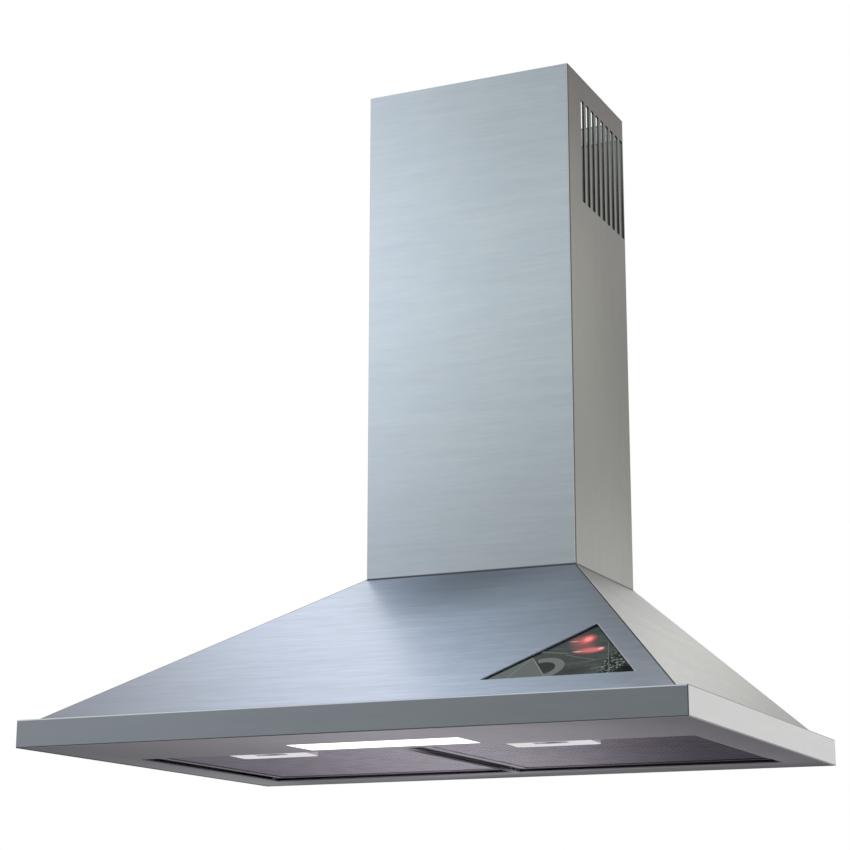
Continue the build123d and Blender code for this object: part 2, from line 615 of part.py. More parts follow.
def filter_handle():
    """Bright ramp under the filter's front edge, with the finger recess and the latch pocket behind it."""
    ramp_y = (FILTER_FRONT + FIT, FILTER_FRONT + HANDLE_DEPTH)
    outline = Polyline(
        (ramp_y[0], FILTER_BASE), (ramp_y[0], FILTER_BASE - HANDLE_FRONT_DROP),
        (ramp_y[0] + RECESS_SETBACK, FILTER_BASE - HANDLE_FRONT_DROP),
        (ramp_y[1], FILTER_BASE - HANDLE_REAR_DROP), (ramp_y[1], FILTER_BASE), close=True,
    )
    side = Plane.YZ.offset(FILTER_MIDDLE - HANDLE_WIDTH / 2)
    handle = extrude(side * make_face(outline), amount=HANDLE_WIDTH)
    rear_corners = handle.edges().filter_by(Axis.Z).sort_by(Axis.Y)[-2:]
    handle = fillet(rear_corners, HANDLE_CORNER)
    pocket_x, pocket_y = pocket_span(0)
    pocket = block(pocket_x, pocket_y, (FILTER_BASE, FILTER_BASE + POCKET_HEIGHT))
    pocket -= block(
        inset(pocket_x, POCKET_WALL), inset(pocket_y, POCKET_WALL),
        (FILTER_BASE - OVERCUT, FILTER_BASE + POCKET_HEIGHT - POCKET_WALL),
    )
    pocket -= tongue_hole((FILTER_FRONT, pocket_y[0] + 2 * POCKET_WALL))
    recess_y = (FILTER_FRONT + RECESS_SETBACK, FILTER_FRONT + RECESS_SETBACK + RECESS_DEPTH)
    recess_z = grown((FILTER_BASE - HANDLE_FRONT_DROP, FILTER_BASE))
    return handle + pocket - block(around(FILTER_MIDDLE, RECESS_WIDTH), recess_y, recess_z)


def latch_limits():
    """The latch body's limits along Y and Z."""
    front = FILTER_FRONT + POCKET_START + POCKET_WALL + LATCH_FREE
    z = (FILTER_BASE + LATCH_FREE, FILTER_BASE + POCKET_HEIGHT - POCKET_WALL - LATCH_FREE)
    return (front, front + LATCH_DEPTH), z


def filter_latch():
    """Sliding latch: body, tongue that reaches out over the front rail, and finger grip."""
    y, z = latch_limits()
    latch = block(around(FILTER_MIDDLE, LATCH_WIDTH), y, z)
    tongue_y = (FILTER_OPENING_FRONT + RUNNING_GAP, y[0])
    tongue_z = (TONGUE_BASE, TONGUE_BASE + TONGUE_HEIGHT)
    latch += block(around(FILTER_MIDDLE, TONGUE_WIDTH), tongue_y, tongue_z)
    grip_y = (y[0] + GRIP_SETBACK, y[0] + GRIP_SETBACK + GRIP_THICKNESS)
    grip_z = (FILTER_BASE - HANDLE_FRONT_DROP + GRIP_RAISE, z[0])
    return latch + block(around(FILTER_MIDDLE, GRIP_WIDTH), grip_y, grip_z)


def latch_springs():
    """Two short compression springs between the latch and its pocket's rear wall."""
    latch_y, latch_z = latch_limits()
    y = (latch_y[1], pocket_span(0)[1][1] - POCKET_WALL)
    middle_z = (latch_z[0] + latch_z[1]) / 2
    springs = []
    for side in (-1, 1):
        x = FILTER_MIDDLE + side * LATCH_WIDTH / 3
        tube = rod_y(SPRING_RADIUS, x, y, middle_z)
        springs.append(tube - rod_y(SPRING_RADIUS - SPRING_WIRE, x, grown(y), middle_z))
    return springs


# ------------------------------------------------------------------ lamp
def lamp_housing():
    """Steel box over the lamp window, with the ears that the lamp cover's pins turn in."""
    y = (LAMP_OPENING_FRONT - LAMP_BOX_MARGIN, LAMP_OPENING_REAR + LAMP_BOX_MARGIN)
    x = (-LAMP_BOX_HALF, LAMP_BOX_HALF)
    outer_x, outer_y = inset(x, -LAMP_BOX_SHEET), inset(y, -LAMP_BOX_SHEET)
    box = block(outer_x, outer_y, (SHEET_TOP, LAMP_BOX_TOP))
    box += block(
        inset(outer_x, -LAMP_BOX_FLANGE), (outer_y[0] - LAMP_BOX_FLANGE, outer_y[1]),
        (SHEET_TOP, SHEET_TOP + LAMP_BOX_SHEET),
    )
    box -= block(x, y, (SHEET_TOP - OVERCUT, LAMP_BOX_TOP - LAMP_BOX_SHEET))
    ear_x = (LAMP_WIDTH / 2 + LAMP_EAR_GAP, LAMP_BOX_HALF + LAMP_BOX_SHEET / 2)
    ear = block(ear_x, around(LAMP_PIN_Y, LAMP_EAR_DEPTH), (SHEET_TOP, LAMP_PIN_Z + LAMP_EAR_CROWN))
    box += [ear, mirrored(ear)]
    box -= rod_x(LAMP_PIN_RADIUS + PIN_RUNNING, x, LAMP_PIN_Y, LAMP_PIN_Z)
    return box - rod_x(LEAD_RADIUS + FIT, grown((x[1], outer_x[1])), LAMP_MIDDLE, BULB_Z)


def lamp_reflector():
    """Bent bright sheet over the bulb."""
    x = (-LAMP_BOX_HALF + FIT, LAMP_BOX_HALF - HOLDER_LENGTH)
    outer = REFLECTOR_RADIUS + REFLECTOR_SHEET
    shell = rod_x(outer, x, LAMP_MIDDLE, BULB_Z) - rod_x(REFLECTOR_RADIUS, grown(x), LAMP_MIDDLE, BULB_Z)
    return shell & block(x, around(LAMP_MIDDLE, 2 * outer), (BULB_Z, BULB_Z + outer))


def lampholder():
    """Threaded lampholder on the housing's right end wall."""
    x = (LAMP_BOX_HALF - HOLDER_LENGTH, LAMP_BOX_HALF)
    holder = rod_x(HOLDER_RADIUS, x, LAMP_MIDDLE, BULB_Z)
    rim_x = (x[0] + HOLDER_RIM_START, x[0] + HOLDER_RIM_START + HOLDER_RIM_WIDTH)
    holder += rod_x(HOLDER_RADIUS + HOLDER_RIM, rim_x, LAMP_MIDDLE, BULB_Z)
    socket = (x[0] - OVERCUT, x[0] + BULB_CAP_LENGTH)
    return holder - rod_x(BULB_CAP_RADIUS + FIT, socket, LAMP_MIDDLE, BULB_Z)


def bulb_cap_limits():
    """The bulb's metal cap along X: screwed home in the lampholder."""
    start = LAMP_BOX_HALF - HOLDER_LENGTH - BULB_CAP_PROUD
    return start, start + BULB_CAP_LENGTH


def lamp_bulb():
    """Candle-shaped glass bulb, lying along the lamp window."""
    cap_start = bulb_cap_limits()[0]
    length = BULB_LENGTH - BULB_CAP_LENGTH
    neck = BULB_CAP_RADIUS - BULB_NECK_STEP
    profile = Polyline((cap_start, 0), (cap_start, neck)) + Spline(
        (cap_start, neck), (cap_start - length * 0.22, BULB_RADIUS * 0.74),
        (cap_start - length * 0.48, BULB_RADIUS), (cap_start - length * 0.82, BULB_RADIUS * 0.55),
        (cap_start - length, 0), tangents=[(-1, 0.1), (-0.25, -1)],
    ) + Line((cap_start - length, 0), (cap_start, 0))
    glass = revolve(make_face(profile), axis=Axis.X)
    return Pos(0, LAMP_MIDDLE, BULB_Z) * glass


def lamp_bulb_cap():
    """Metal screw cap of the bulb."""
    x = bulb_cap_limits()
    cap = rod_x(BULB_CAP_RADIUS, x, LAMP_MIDDLE, BULB_Z)
    return cap + rod_x(BULB_CAP_RADIUS / 2, (x[1], x[1] + BULB_CONTACT), LAMP_MIDDLE, BULB_Z)


def lamp_cover():
    """Frosted cover of the lamp window, hinged on two pins at its front corners."""
    x = around(0, LAMP_WIDTH - 2 * LAMP_GAP)
    y = (LAMP_COVER_FRONT, LAMP_COVER_REAR)
    plate = block(x, y, (UNDERSIDE_RISE, UNDERSIDE_RISE + LAMP_COVER))
    front_bottom = plate.edges().filter_by(Axis.X).group_by(Axis.Z)[0].sort_by(Axis.Y)[0]
    plate = fillet(front_bottom, LAMP_COVER_EDGE)
    skirt_z = (UNDERSIDE_RISE + LAMP_COVER / 2, UNDERSIDE_RISE + LAMP_COVER + LAMP_SKIRT)
    plate += block(x, (y[1] - LAMP_SKIRT_WALL, y[1]), skirt_z)
    for end in (x[0], x[1] - LAMP_SKIRT_WALL):
        plate += block((end, end + LAMP_SKIRT_WALL), (y[0] + LAMP_SKIRT_WALL, y[1]), skirt_z)
    left_pin = (x[0] - LAMP_PIN_REACH, x[0] + LAMP_SKIRT_WALL)
    right_pin = (x[1] - LAMP_SKIRT_WALL, x[1] + LAMP_PIN_REACH)
    for pin_x in (left_pin, right_pin):
        plate += rod_x(LAMP_PIN_RADIUS, pin_x, LAMP_PIN_Y, LAMP_PIN_Z)
    return plate


# ------------------------------------------------------------------ control panel, built on the front slope
def corner_points(reach):
    """Three points at a reach from the window's middle, one towards each of its corners."""
    turns = (0, 2 * math.pi / 3, 4 * math.pi / 3)
    return [(reach * math.sin(turn), reach * math.cos(turn)) for turn in turns]


def triangle(margin, corner):
    """Window outline grown by a margin, about its own middle, with rounded corners."""
    outline = make_face(Polyline(*corner_points(CORNER_REACH + 2 * margin), close=True))
    return fillet(outline.vertices(), corner)


def on_slope(sketch, low, high):
    """A layer of the control panel between two depths behind the front face."""
    return extrude(FRONT_FACE * Pos(0, 0, low) * sketch, amount=high - low)


def stud_places():
    """Stud positions on the front slope, one beyond each corner of the window."""
    return corner_points(CORNER_REACH + STUD_REACH)


def stud_length():
    """From the sheet's back through the housing's floor and the nut."""
    return -SHEET - HOUSING_BACK + NUT_HEIGHT + STUD_PROUD


def control_gasket():
    """Black seal between the front sheet and the glass."""
    ring = triangle(GLASS_OVERLAP, GLASS_CORNER) - triangle(0, WINDOW_CORNER)
    return on_slope(ring, GASKET_BACK, -SHEET)


def control_glass():
    """Smoked touch glass."""
    return on_slope(triangle(GLASS_OVERLAP, GLASS_CORNER), GLASS_BACK, GASKET_BACK)


def control_housing():
    """Plastic box behind the glass, held by nuts on the front sheet's studs."""
    corner = HOUSING_MARGIN / 2
    housing = on_slope(triangle(HOUSING_MARGIN, corner), HOUSING_BACK, GLASS_BACK)
    cavity = triangle(HOUSING_CAVITY_MARGIN, GLASS_CORNER - HOUSING_WALL)
    housing -= on_slope(cavity, HOUSING_BACK + HOUSING_WALL, GLASS_BACK + OVERCUT)
    floor = HOUSING_BACK + HOUSING_WALL
    post_height = BOARD_BACK - floor
    for x, y in corner_points(CORNER_REACH - POST_INSET):
        housing += FRONT_FACE * Pos(x, y, floor + post_height / 2) * Cylinder(POST_RADIUS, post_height)
    for x, y in stud_places():
        housing -= FRONT_FACE * Pos(x, y, HOUSING_BACK) * Cylinder(STUD_RADIUS + FIT, 4 * HOUSING_DEPTH)
    way_out = FRONT_FACE * Pos(0, CORNER_REACH / 3, HOUSING_BACK)
    return housing - way_out * Cylinder(LEAD_RADIUS + FIT, 4 * HOUSING_WALL)


def control_board():
    """Circuit board with its main components on the back."""
    board = on_slope(triangle(-BOARD_MARGIN + HOUSING_CAVITY_MARGIN, GLASS_CORNER), BOARD_BACK, BOARD_FRONT)
    for x, y, width, height in CHIPS:
        board += FRONT_FACE * Pos(x, y, BOARD_BACK - CHIP_HEIGHT / 2) * Box(width, height, CHIP_HEIGHT)
    return board


def control_leds():
    """Two red light bars, one above the other, near the window's upper corner."""
    bars = []
    for x, below_corner, length in LED_BARS:
        bar = Box(length, LED_HEIGHT, LED_DEPTH)
        bars.append(FRONT_FACE * Pos(x, CORNER_REACH - below_corner, BOARD_FRONT + LED_DEPTH / 2) * bar)
    return bars


def control_touch_springs():
    """Touch contacts pressed between the board and the glass."""
    contact = Cylinder(TOUCH_RADIUS, BOARD_SETBACK) - Cylinder(TOUCH_RADIUS - TOUCH_WALL, BOARD_SETBACK)
    places = [TOUCH_PITCH * (number - (TOUCH_COUNT - 1) / 2) for number in range(TOUCH_COUNT)]
    return [FRONT_FACE * Pos(x, TOUCH_LINE, BOARD_FRONT + BOARD_SETBACK / 2) * contact for x in places]


def control_nuts():
    """Nuts on the three studs."""
    nut = extrude(RegularPolygon(NUT_RADIUS, 6), amount=-NUT_HEIGHT) - Cylinder(STUD_RADIUS, 4 * NUT_HEIGHT)
    return [FRONT_FACE * Pos(x, y, HOUSING_BACK) * nut for x, y in stud_places()]


# ------------------------------------------------------------------ chimney
def vents(front):
    """Cutters for the row of vents through both sides, from the first one's place."""
    middle_z = TOP - VENT_FROM_TOP - VENT_HEIGHT / 2
    slots = []
    for number in range(VENT_COUNT):
        y = -CHIMNEY_DEPTH + front + VENT_WIDTH / 2 + number * VENT_PITCH
        outline = Plane.YZ * Pos(y, middle_z) * RectangleRounded(VENT_WIDTH, VENT_HEIGHT, VENT_CORNER)
        slots.append(extrude(outline, amount=CHIMNEY_WIDTH, both=True))
    return slots


def chimney_cover(inset_by, low, high):
    """Folded cover with returns along the wall and vents in both sides."""
    half = CHIMNEY_WIDTH / 2 - inset_by
    y = (-CHIMNEY_DEPTH + inset_by, -WALL_RELIEF - inset_by)
    cover = rounded_block((-half, half), y, (low, high), COVER_BEND)
    through = grown((low, high))
    inside = inset((-half, half), COVER_SHEET), inset(y, COVER_SHEET)
    cover -= rounded_block(*inside, through, COVER_BEND - COVER_SHEET)
    gap = CHIMNEY_WIDTH / 2 - COVER_RETURN
    cover -= block((-gap, gap), (y[1] - COVER_SHEET - OVERCUT, y[1] + OVERCUT), through)
    return cover - vents(VENT_FRONT)


def bracket_ear_x():
    """Where the wall bracket's ears stand along X, on the right: inside the upper cover."""
    outer = CHIMNEY_WIDTH / 2 - UPPER_INSET - COVER_SHEET
    return outer - BRACKET_SHEET, outer


def chimney_bracket():
    """Wall bracket of the upper cover: strip on the wall, steps round the cover's returns, and two ears."""
    z = (UPPER_TOP - BRACKET_FROM_TOP - BRACKET_HEIGHT, UPPER_TOP - BRACKET_FROM_TOP)
    strip_half = CHIMNEY_WIDTH / 2 - COVER_RETURN - BRACKET_RETURN_GAP
    wall_y = (-WALL_RELIEF - BRACKET_SHEET, -WALL_RELIEF)
    return_front = -WALL_RELIEF - UPPER_INSET - COVER_SHEET
    step_y = (return_front - BRACKET_SHEET, return_front)
    ear_x = bracket_ear_x()
    bracket = block((-strip_half, strip_half), wall_y, z)
    inside_cover = rounded_block(
        (-ear_x[1], ear_x[1]), (-CHIMNEY_DEPTH / 2, return_front), z, COVER_BEND - COVER_SHEET
    )
    for side in (-1, 1):
        step = sorted((side * (strip_half - BRACKET_SHEET), side * strip_half))
        run = sorted((side * (strip_half - BRACKET_SHEET), side * ear_x[1]))
        ear = sorted((side * ear_x[0], side * ear_x[1]))
        bent = block(run, step_y, z) + block(ear, (step_y[1] - BRACKET_EAR, step_y[1]), z)
        bracket += block(step, (step_y[0], wall_y[1]), z)
        bracket += bent & inside_cover
        bracket -= rod_y(BRACKET_HOLE, side * BRACKET_SPACING / 2, grown(wall_y), (z[0] + z[1]) / 2)
    return bracket


def chimney_bracket_screws():
    """Screws with heads inside the ears, which draw the upper cover to its bracket."""
    z = UPPER_TOP - BRACKET_FROM_TOP - BRACKET_HEIGHT / 2
    ear_x = bracket_ear_x()
    y = -WALL_RELIEF - UPPER_INSET - BRACKET_EAR / 2 - COVER_SHEET
    screw = rod_x(SCREW_HEAD, (ear_x[0] - SCREW_HEAD_HEIGHT, ear_x[0]), y, z)
    return [screw, mirrored(screw)]


# ------------------------------------------------------------------ blower
def volute():
    """Inside outline of the scroll in the YZ plane: three arcs of growing radius and the throat above."""
    step = VOLUTE_STEP
    first = (WHEEL_Y - step / 2, WHEEL_Z - step / 2)
    second = (first[0] + step, first[1])
    third = (second[0], second[1] + step)
    start = math.degrees(math.acos((THROAT_FRONT - first[0]) / VOLUTE_START))
    nose_z = first[1] + VOLUTE_START * math.sin(math.radians(start))
    top = SHELL_TOP + 4 * SHELL
    edges = [
        CenterArc(first, VOLUTE_START, start, 180 - start),
        CenterArc(second, VOLUTE_START + step, 180, 90),
        CenterArc(third, VOLUTE_START + 2 * step, 270, 90),
        Line((THROAT_REAR, third[1]), (THROAT_REAR, top)),
        Line((THROAT_REAR, top), (THROAT_FRONT, top)),
        Line((THROAT_FRONT, top), (THROAT_FRONT, nose_z)),
    ]
    return make_face(edges)


def blower_ears():
    """Screw positions of the right half's mounting ear."""
    return [(SHELL_HALF / 2, THROAT_FRONT - SHELL - EAR_REACH / 2)]


def blower_housing():
    """Right half of the scroll: side wall with its inlet, and the wrap as far as the middle."""
    inside = volute()
    outside = offset(inside, amount=SHELL)
    half = extrude(Plane.YZ * outside, amount=SHELL_HALF)
    half -= extrude(Plane.YZ.offset(-OVERCUT) * inside, amount=SHELL_HALF - SHELL + OVERCUT)
    ring_x = (SHELL_HALF - SHELL, SHELL_HALF + INLET_RING_REACH)
    half += rod_x(INLET_RADIUS + INLET_RING, ring_x, WHEEL_Y, WHEEL_Z)
    half -= rod_x(INLET_RADIUS, grown(ring_x), WHEEL_Y, WHEEL_Z)
    front = THROAT_FRONT - SHELL
    ear_z = (SHELL_TOP - EAR_THICKNESS, SHELL_TOP)
    for x, y in blower_ears():
        half += block(around(x, EAR_WIDTH), (front - EAR_REACH, front + SHELL / 2), ear_z)
        half -= rod_z(SCREW_RADIUS + FIT, x, y, grown(ear_z))
    return half & block((0, ring_x[1]), (-HOOD_DEPTH, 0), (0, SHELL_TOP))


def impeller():
    """Double-inlet wheel: middle disc with its hub, blades on both sides and an end rim on each."""
    middle = WHEEL_RADIUS - BLADE_FROM_EDGE - BLADE_CHORD * math.cos(math.radians(BLADE_TILT)) / 2
    blades = Sketch() + [
        Pos(WHEEL_Y, WHEEL_Z) * Rot(0, 0, 360 * number / BLADE_COUNT) * Pos(middle, 0)
        * Rot(0, 0, BLADE_TILT) * Rectangle(BLADE_CHORD, BLADE_THICKNESS)
        for number in range(BLADE_COUNT)
    ]
    wheel = extrude(Plane.YZ * blades, amount=WHEEL_WIDTH / 2, both=True)
    wheel += rod_x(WHEEL_RADIUS, around(0, WHEEL_DISC), WHEEL_Y, WHEEL_Z)
    for side in (-1, 1):
        x = sorted((side * WHEEL_WIDTH / 2, side * (WHEEL_WIDTH / 2 - WHEEL_DISC)))
        rim = rod_x(WHEEL_RADIUS, x, WHEEL_Y, WHEEL_Z)
        wheel += rim - rod_x(WHEEL_RADIUS - WHEEL_RIM, grown(x), WHEEL_Y, WHEEL_Z)
    wheel += rod_x(HUB_RADIUS, (WHEEL_DISC / 2 - HUB_LENGTH, WHEEL_DISC / 2 + HUB_FAR), WHEEL_Y, WHEEL_Z)
    return wheel - rod_x(SHAFT_RADIUS, around(0, WHEEL_WIDTH), WHEEL_Y, WHEEL_Z)


def motor_limits():
    """The motor casing along X, on the right of the wheel's disc."""
    return MOTOR_FROM_DISC, MOTOR_FROM_DISC + MOTOR_LENGTH


def bearing_limits():
    """The two bearings along X."""
    low, high = motor_limits()
    near = (low + MOTOR_WALL, low + MOTOR_WALL + BEARING_WIDTH)
    far = (high - MOTOR_WALL - BEARING_WIDTH, high - MOTOR_WALL)
    return near, far


def axle_ring(outer, inner, x):
    """Ring about the blower's axis."""
    return rod_x(outer, x, WHEEL_Y, WHEEL_Z) - rod_x(inner, grown(x), WHEEL_Y, WHEEL_Z)


def motor_casing():
    """Motor casing with a bearing boss in each end."""
    x = motor_limits()
    casing = axle_ring(MOTOR_RADIUS, MOTOR_RADIUS - MOTOR_WALL, x)
    for end, bearing in zip(((x[0], x[0] + MOTOR_WALL), (x[1] - MOTOR_WALL, x[1])), bearing_limits()):
        casing += axle_ring(MOTOR_RADIUS, SHAFT_RADIUS + SHAFT_HOLE_MARGIN, end)
        casing += axle_ring(BEARING_RADIUS + BEARING_BOSS, BEARING_RADIUS, bearing)
    return casing


def stator_limits():
    """The stator along X: in the casing's middle."""
    low, high = motor_limits()
    return around((low + high) / 2, STATOR_LENGTH)


def motor_windings():
    """End turns of the motor's winding, one at each end of the stator."""
    low, high = stator_limits()
    return [
        axle_ring(WINDING_OUTER, WINDING_INNER, (low - WINDING_LENGTH, low)),
        axle_ring(WINDING_OUTER, WINDING_INNER, (high, high + WINDING_LENGTH)),
    ]


def shaft_limits():
    """The shaft along X, from beyond the wheel's nut to behind the far bearing."""
    return WHEEL_DISC / 2 - HUB_LENGTH - SHAFT_PROUD, motor_limits()[1] + SHAFT_TAIL


def impeller_nut():
    """Nut that holds the wheel on its shaft."""
    end = WHEEL_DISC / 2 - HUB_LENGTH
    outline = Plane.YZ.offset(end) * Pos(WHEEL_Y, WHEEL_Z) * RegularPolygon(IMPELLER_NUT_RADIUS, 6)
    nut = extrude(outline, amount=-IMPELLER_NUT_HEIGHT)
    return nut - rod_x(SHAFT_RADIUS, around(0, WHEEL_WIDTH), WHEEL_Y, WHEEL_Z)


def grommet_x():
    """The rubber grommets along X: on the right half's side wall."""
    return SHELL_HALF, SHELL_HALF + GROMMET_HEIGHT


def grommet_ring_radius():
    """Radius of the circle that the grommets stand on."""
    return INLET_RADIUS + INLET_RING + GROMMET_RADIUS + FIT


def grommet_places():
    """Grommet positions about the axis, in the YZ plane."""
    turns = [math.radians(90 + 360 * number / ARM_COUNT) for number in range(ARM_COUNT)]
    reach = grommet_ring_radius()
    return [(WHEEL_Y + reach * math.cos(turn), WHEEL_Z + reach * math.sin(turn)) for turn in turns]


def motor_bracket():
    """Three-armed bracket over the right inlet, with a boss that the motor's end is fixed to."""
    x = (grommet_x()[1], grommet_x()[1] + BRACKET_SHEET)
    reach = grommet_ring_radius()
    bracket = axle_ring(reach + BRACKET_RING_WIDTH / 2, reach - BRACKET_RING_WIDTH / 2, x)
    for number in range(ARM_COUNT):
        turned = Rot(90 + 360 * number / ARM_COUNT, 0, 0) * block(x, (0, reach), around(0, ARM_WIDTH))
        bracket += Pos(0, WHEEL_Y, WHEEL_Z) * turned
    boss_x = (motor_limits()[1], x[1])
    bracket += rod_x(BOSS_RADIUS, boss_x, WHEEL_Y, WHEEL_Z)
    bracket -= rod_x(SHAFT_RADIUS + 2 * SHAFT_HOLE_MARGIN, (boss_x[0] - OVERCUT, x[0]), WHEEL_Y, WHEEL_Z)
    return bracket - [rod_x(SCREW_RADIUS, grown(x), y, z) for y, z in grommet_places()]


def motor_grommets():
    """Rubber grommets between the bracket and the scroll."""
    x = grommet_x()
    return [rod_x(GROMMET_RADIUS, x, y, z) for y, z in grommet_places()]


def bracket_screws():
    """Screws through the bracket into the grommets."""
    x = (grommet_x()[1], grommet_x()[1] + BRACKET_SHEET)
    return [
        rod_x(SCREW_RADIUS, x, y, z) + rod_x(SCREW_HEAD, (x[1], x[1] + SCREW_HEAD_HEIGHT), y, z)
        for y, z in grommet_places()
    ]


# ------------------------------------------------------------------ outlet
def collar_screw_places():
    """Screw positions in the collar's flange corners."""
    reach = COLLAR_RADIUS - COLLAR_SCREW_INSET
    return [(side * reach, COLLAR_Y + end * reach) for side in (-1, 1) for end in (-1, 1)]


def top_screws():
    """Every screw position in the canopy's top plate."""
    ears = blower_ears()
    return collar_screw_places() + ears + [(-x, y) for x, y in ears]


def outlet_collar():
    """Round spigot for the duct on a square flange, with a seat inside for the flaps."""
    base = PLATE_TOP + COLLAR_FLANGE_SHEET
    half = COLLAR_RADIUS + COLLAR_FLANGE
    collar = rounded_block(
        (-half, half), (COLLAR_Y - half, COLLAR_Y + half), (PLATE_TOP, base), COLLAR_FLANGE
    )
    collar += rod_z(COLLAR_RADIUS, 0, COLLAR_Y, (PLATE_TOP, base + COLLAR_HEIGHT))
    seat_top = FLAP_Z - FLAP_SHEET / 2 - RUNNING_GAP
    collar -= rod_z(COLLAR_BORE, 0, COLLAR_Y, (seat_top, base + COLLAR_HEIGHT + OVERCUT))
    collar -= rod_z(COLLAR_BORE, 0, COLLAR_Y, (PLATE_TOP - OVERCUT, seat_top - FLAP_SEAT))
    collar -= rod_z(COLLAR_BORE - FLAP_SEAT, 0, COLLAR_Y, (PLATE_TOP - OVERCUT, seat_top + OVERCUT))
    collar -= rod_x(FLAP_PIN_RADIUS, grown((-COLLAR_RADIUS, COLLAR_RADIUS)), COLLAR_Y, FLAP_Z)
    through = grown((PLATE_TOP, base))
    return collar - [rod_z(SCREW_RADIUS + FIT, x, y, through) for x, y in collar_screw_places()]


def flap(side):
    """One half-round flap. side is -1 for the one towards the cook and 1 for the one towards the wall."""
    radius = COLLAR_BORE - FLAP_GAP
    z = around(FLAP_Z, FLAP_SHEET)
    clear = FLAP_BARREL + FLAP_BARREL_GAP
    plate = rod_z(radius, 0, COLLAR_Y, z)
    plate &= block((-radius, radius), sorted((COLLAR_Y + side * clear, COLLAR_Y + side * radius)), z)
    for middle in (-FLAP_BARREL_PITCH, FLAP_BARREL_PITCH):
        x = around(middle + side * FLAP_BARREL_PITCH / 2, FLAP_BARREL_LENGTH)
        plate += rod_x(FLAP_BARREL, x, COLLAR_Y, FLAP_Z)
        plate += block(x, sorted((COLLAR_Y, COLLAR_Y + side * (clear + OVERCUT))), z)
    return plate - rod_x(FLAP_PIN_RADIUS + PIN_RUNNING, (-radius, radius), COLLAR_Y, FLAP_Z)


def cable_gland():
    """Grommet in the top plate where the supply cable comes in."""
    z = (PLATE_TOP - GLAND_BELOW, PLATE_TOP - GLAND_BELOW + GLAND_HEIGHT)
    gland = rod_z(GLAND_RADIUS, GLAND_X, GLAND_Y, (PLATE_TOP, z[1]))
    gland += rod_z(GLAND_RADIUS - GLAND_GROOVE, GLAND_X, GLAND_Y, z)
    return gland - rod_z(GLAND_BORE, GLAND_X, GLAND_Y, grown(z))


def panel_screws():
    """Screws in the top plate: four through the collar's flange and two up through the blower's ears."""
    screws = []
    base = PLATE_TOP + COLLAR_FLANGE_SHEET
    for x, y in collar_screw_places():
        head = rod_z(SCREW_HEAD, x, y, (base, base + SCREW_HEAD_HEIGHT))
        screws.append(rod_z(SCREW_RADIUS, x, y, (PLATE_TOP - SHEET, base)) + head)
    under = SHELL_TOP - EAR_THICKNESS
    for x, y in blower_ears():
        head = rod_z(SCREW_HEAD, x, y, (under - SCREW_HEAD_HEIGHT, under))
        screw = rod_z(SCREW_RADIUS, x, y, (under, PLATE_TOP)) + head
        screws += [screw, mirrored(screw)]
    return screws


# ------------------------------------------------------------------ electrical
def capacitor_place():
    """The run capacitor's axis: beside the terminal box, off the back panel by its clip."""
    reach = CAPACITOR_CLIP + CAPACITOR_RADIUS
    return BOX_LEFT + BOX_SIZE[0] + reach, -SHEET - reach


def terminal_box():
    """Plastic box on the back panel, open to the front, with the clip that holds the capacitor."""
    x = (BOX_LEFT, BOX_LEFT + BOX_SIZE[0])
    y = (BOX_FRONT, -SHEET)
    z = (BOX_BASE_Z, BOX_BASE_Z + BOX_SIZE[2])
    box = block(x, (y[0] + BOX_WALL, y[1]), z)
    box -= block(inset(x, BOX_WALL), (y[0], y[1] - BOX_WALL), inset(z, BOX_WALL))
    cap_x, cap_y = capacitor_place()
    clip_z = around(BOX_MIDDLE_Z, CLIP_HEIGHT)
    clip = rod_z(CAPACITOR_RADIUS + CAPACITOR_CLIP, cap_x, cap_y, clip_z)
    clip += block((x[1] - BOX_WALL / 2, cap_x), (cap_y, cap_y + CAPACITOR_RADIUS + CAPACITOR_CLIP), clip_z)
    box += clip
    return box - rod_z(CAPACITOR_RADIUS, cap_x, cap_y, grown(clip_z))


def terminal_box_lid():
    """Front lid of the terminal box, with the holes where the leads go in."""
    x = (BOX_LEFT, BOX_LEFT + BOX_SIZE[0])
    y = (BOX_FRONT, BOX_FRONT + BOX_WALL)
    z = (BOX_BASE_Z, BOX_BASE_Z + BOX_SIZE[2])
    lid = block(x, y, z)
    return lid - [rod_y(LEAD_RADIUS + FIT, lead_x, grown(y), lead_z) for lead_x, lead_z in lead_ends()]


def lead_ends():
    """Where the control, lamp and motor leads enter the terminal box, as X and Z."""
    return [(BOX_MIDDLE_X + x, BOX_MIDDLE_Z + z) for x, z in (CONTROL_LEAD_IN, LAMP_LEAD_IN, MOTOR_LEAD_IN)]


def bend_radii(points):
    """The largest arc that each corner's two runs allow."""
    runs = [end - start for start, end in zip(points, points[1:])]
    radii = []
    for before, after in zip(runs, runs[1:]):
        turn = math.radians(before.get_angle(after))
        radii.append(LEAD_BEND * min(before.length, after.length) / math.tan(turn / 2))
    return radii


def lead(*places):
    """Round cable along straight runs joined by arcs."""
    points = [Vector(*place) for place in places]
    radii = bend_radii(points)
    path = FilletPolyline(*points, radius=radii)
    cable = sweep(Plane(origin=path @ 0, z_dir=path % 0) * Circle(LEAD_RADIUS), path=path)
    print(f"  lead {path.length:.0f} mm, tightest bend {min(radii):.0f} mm")
    return cable


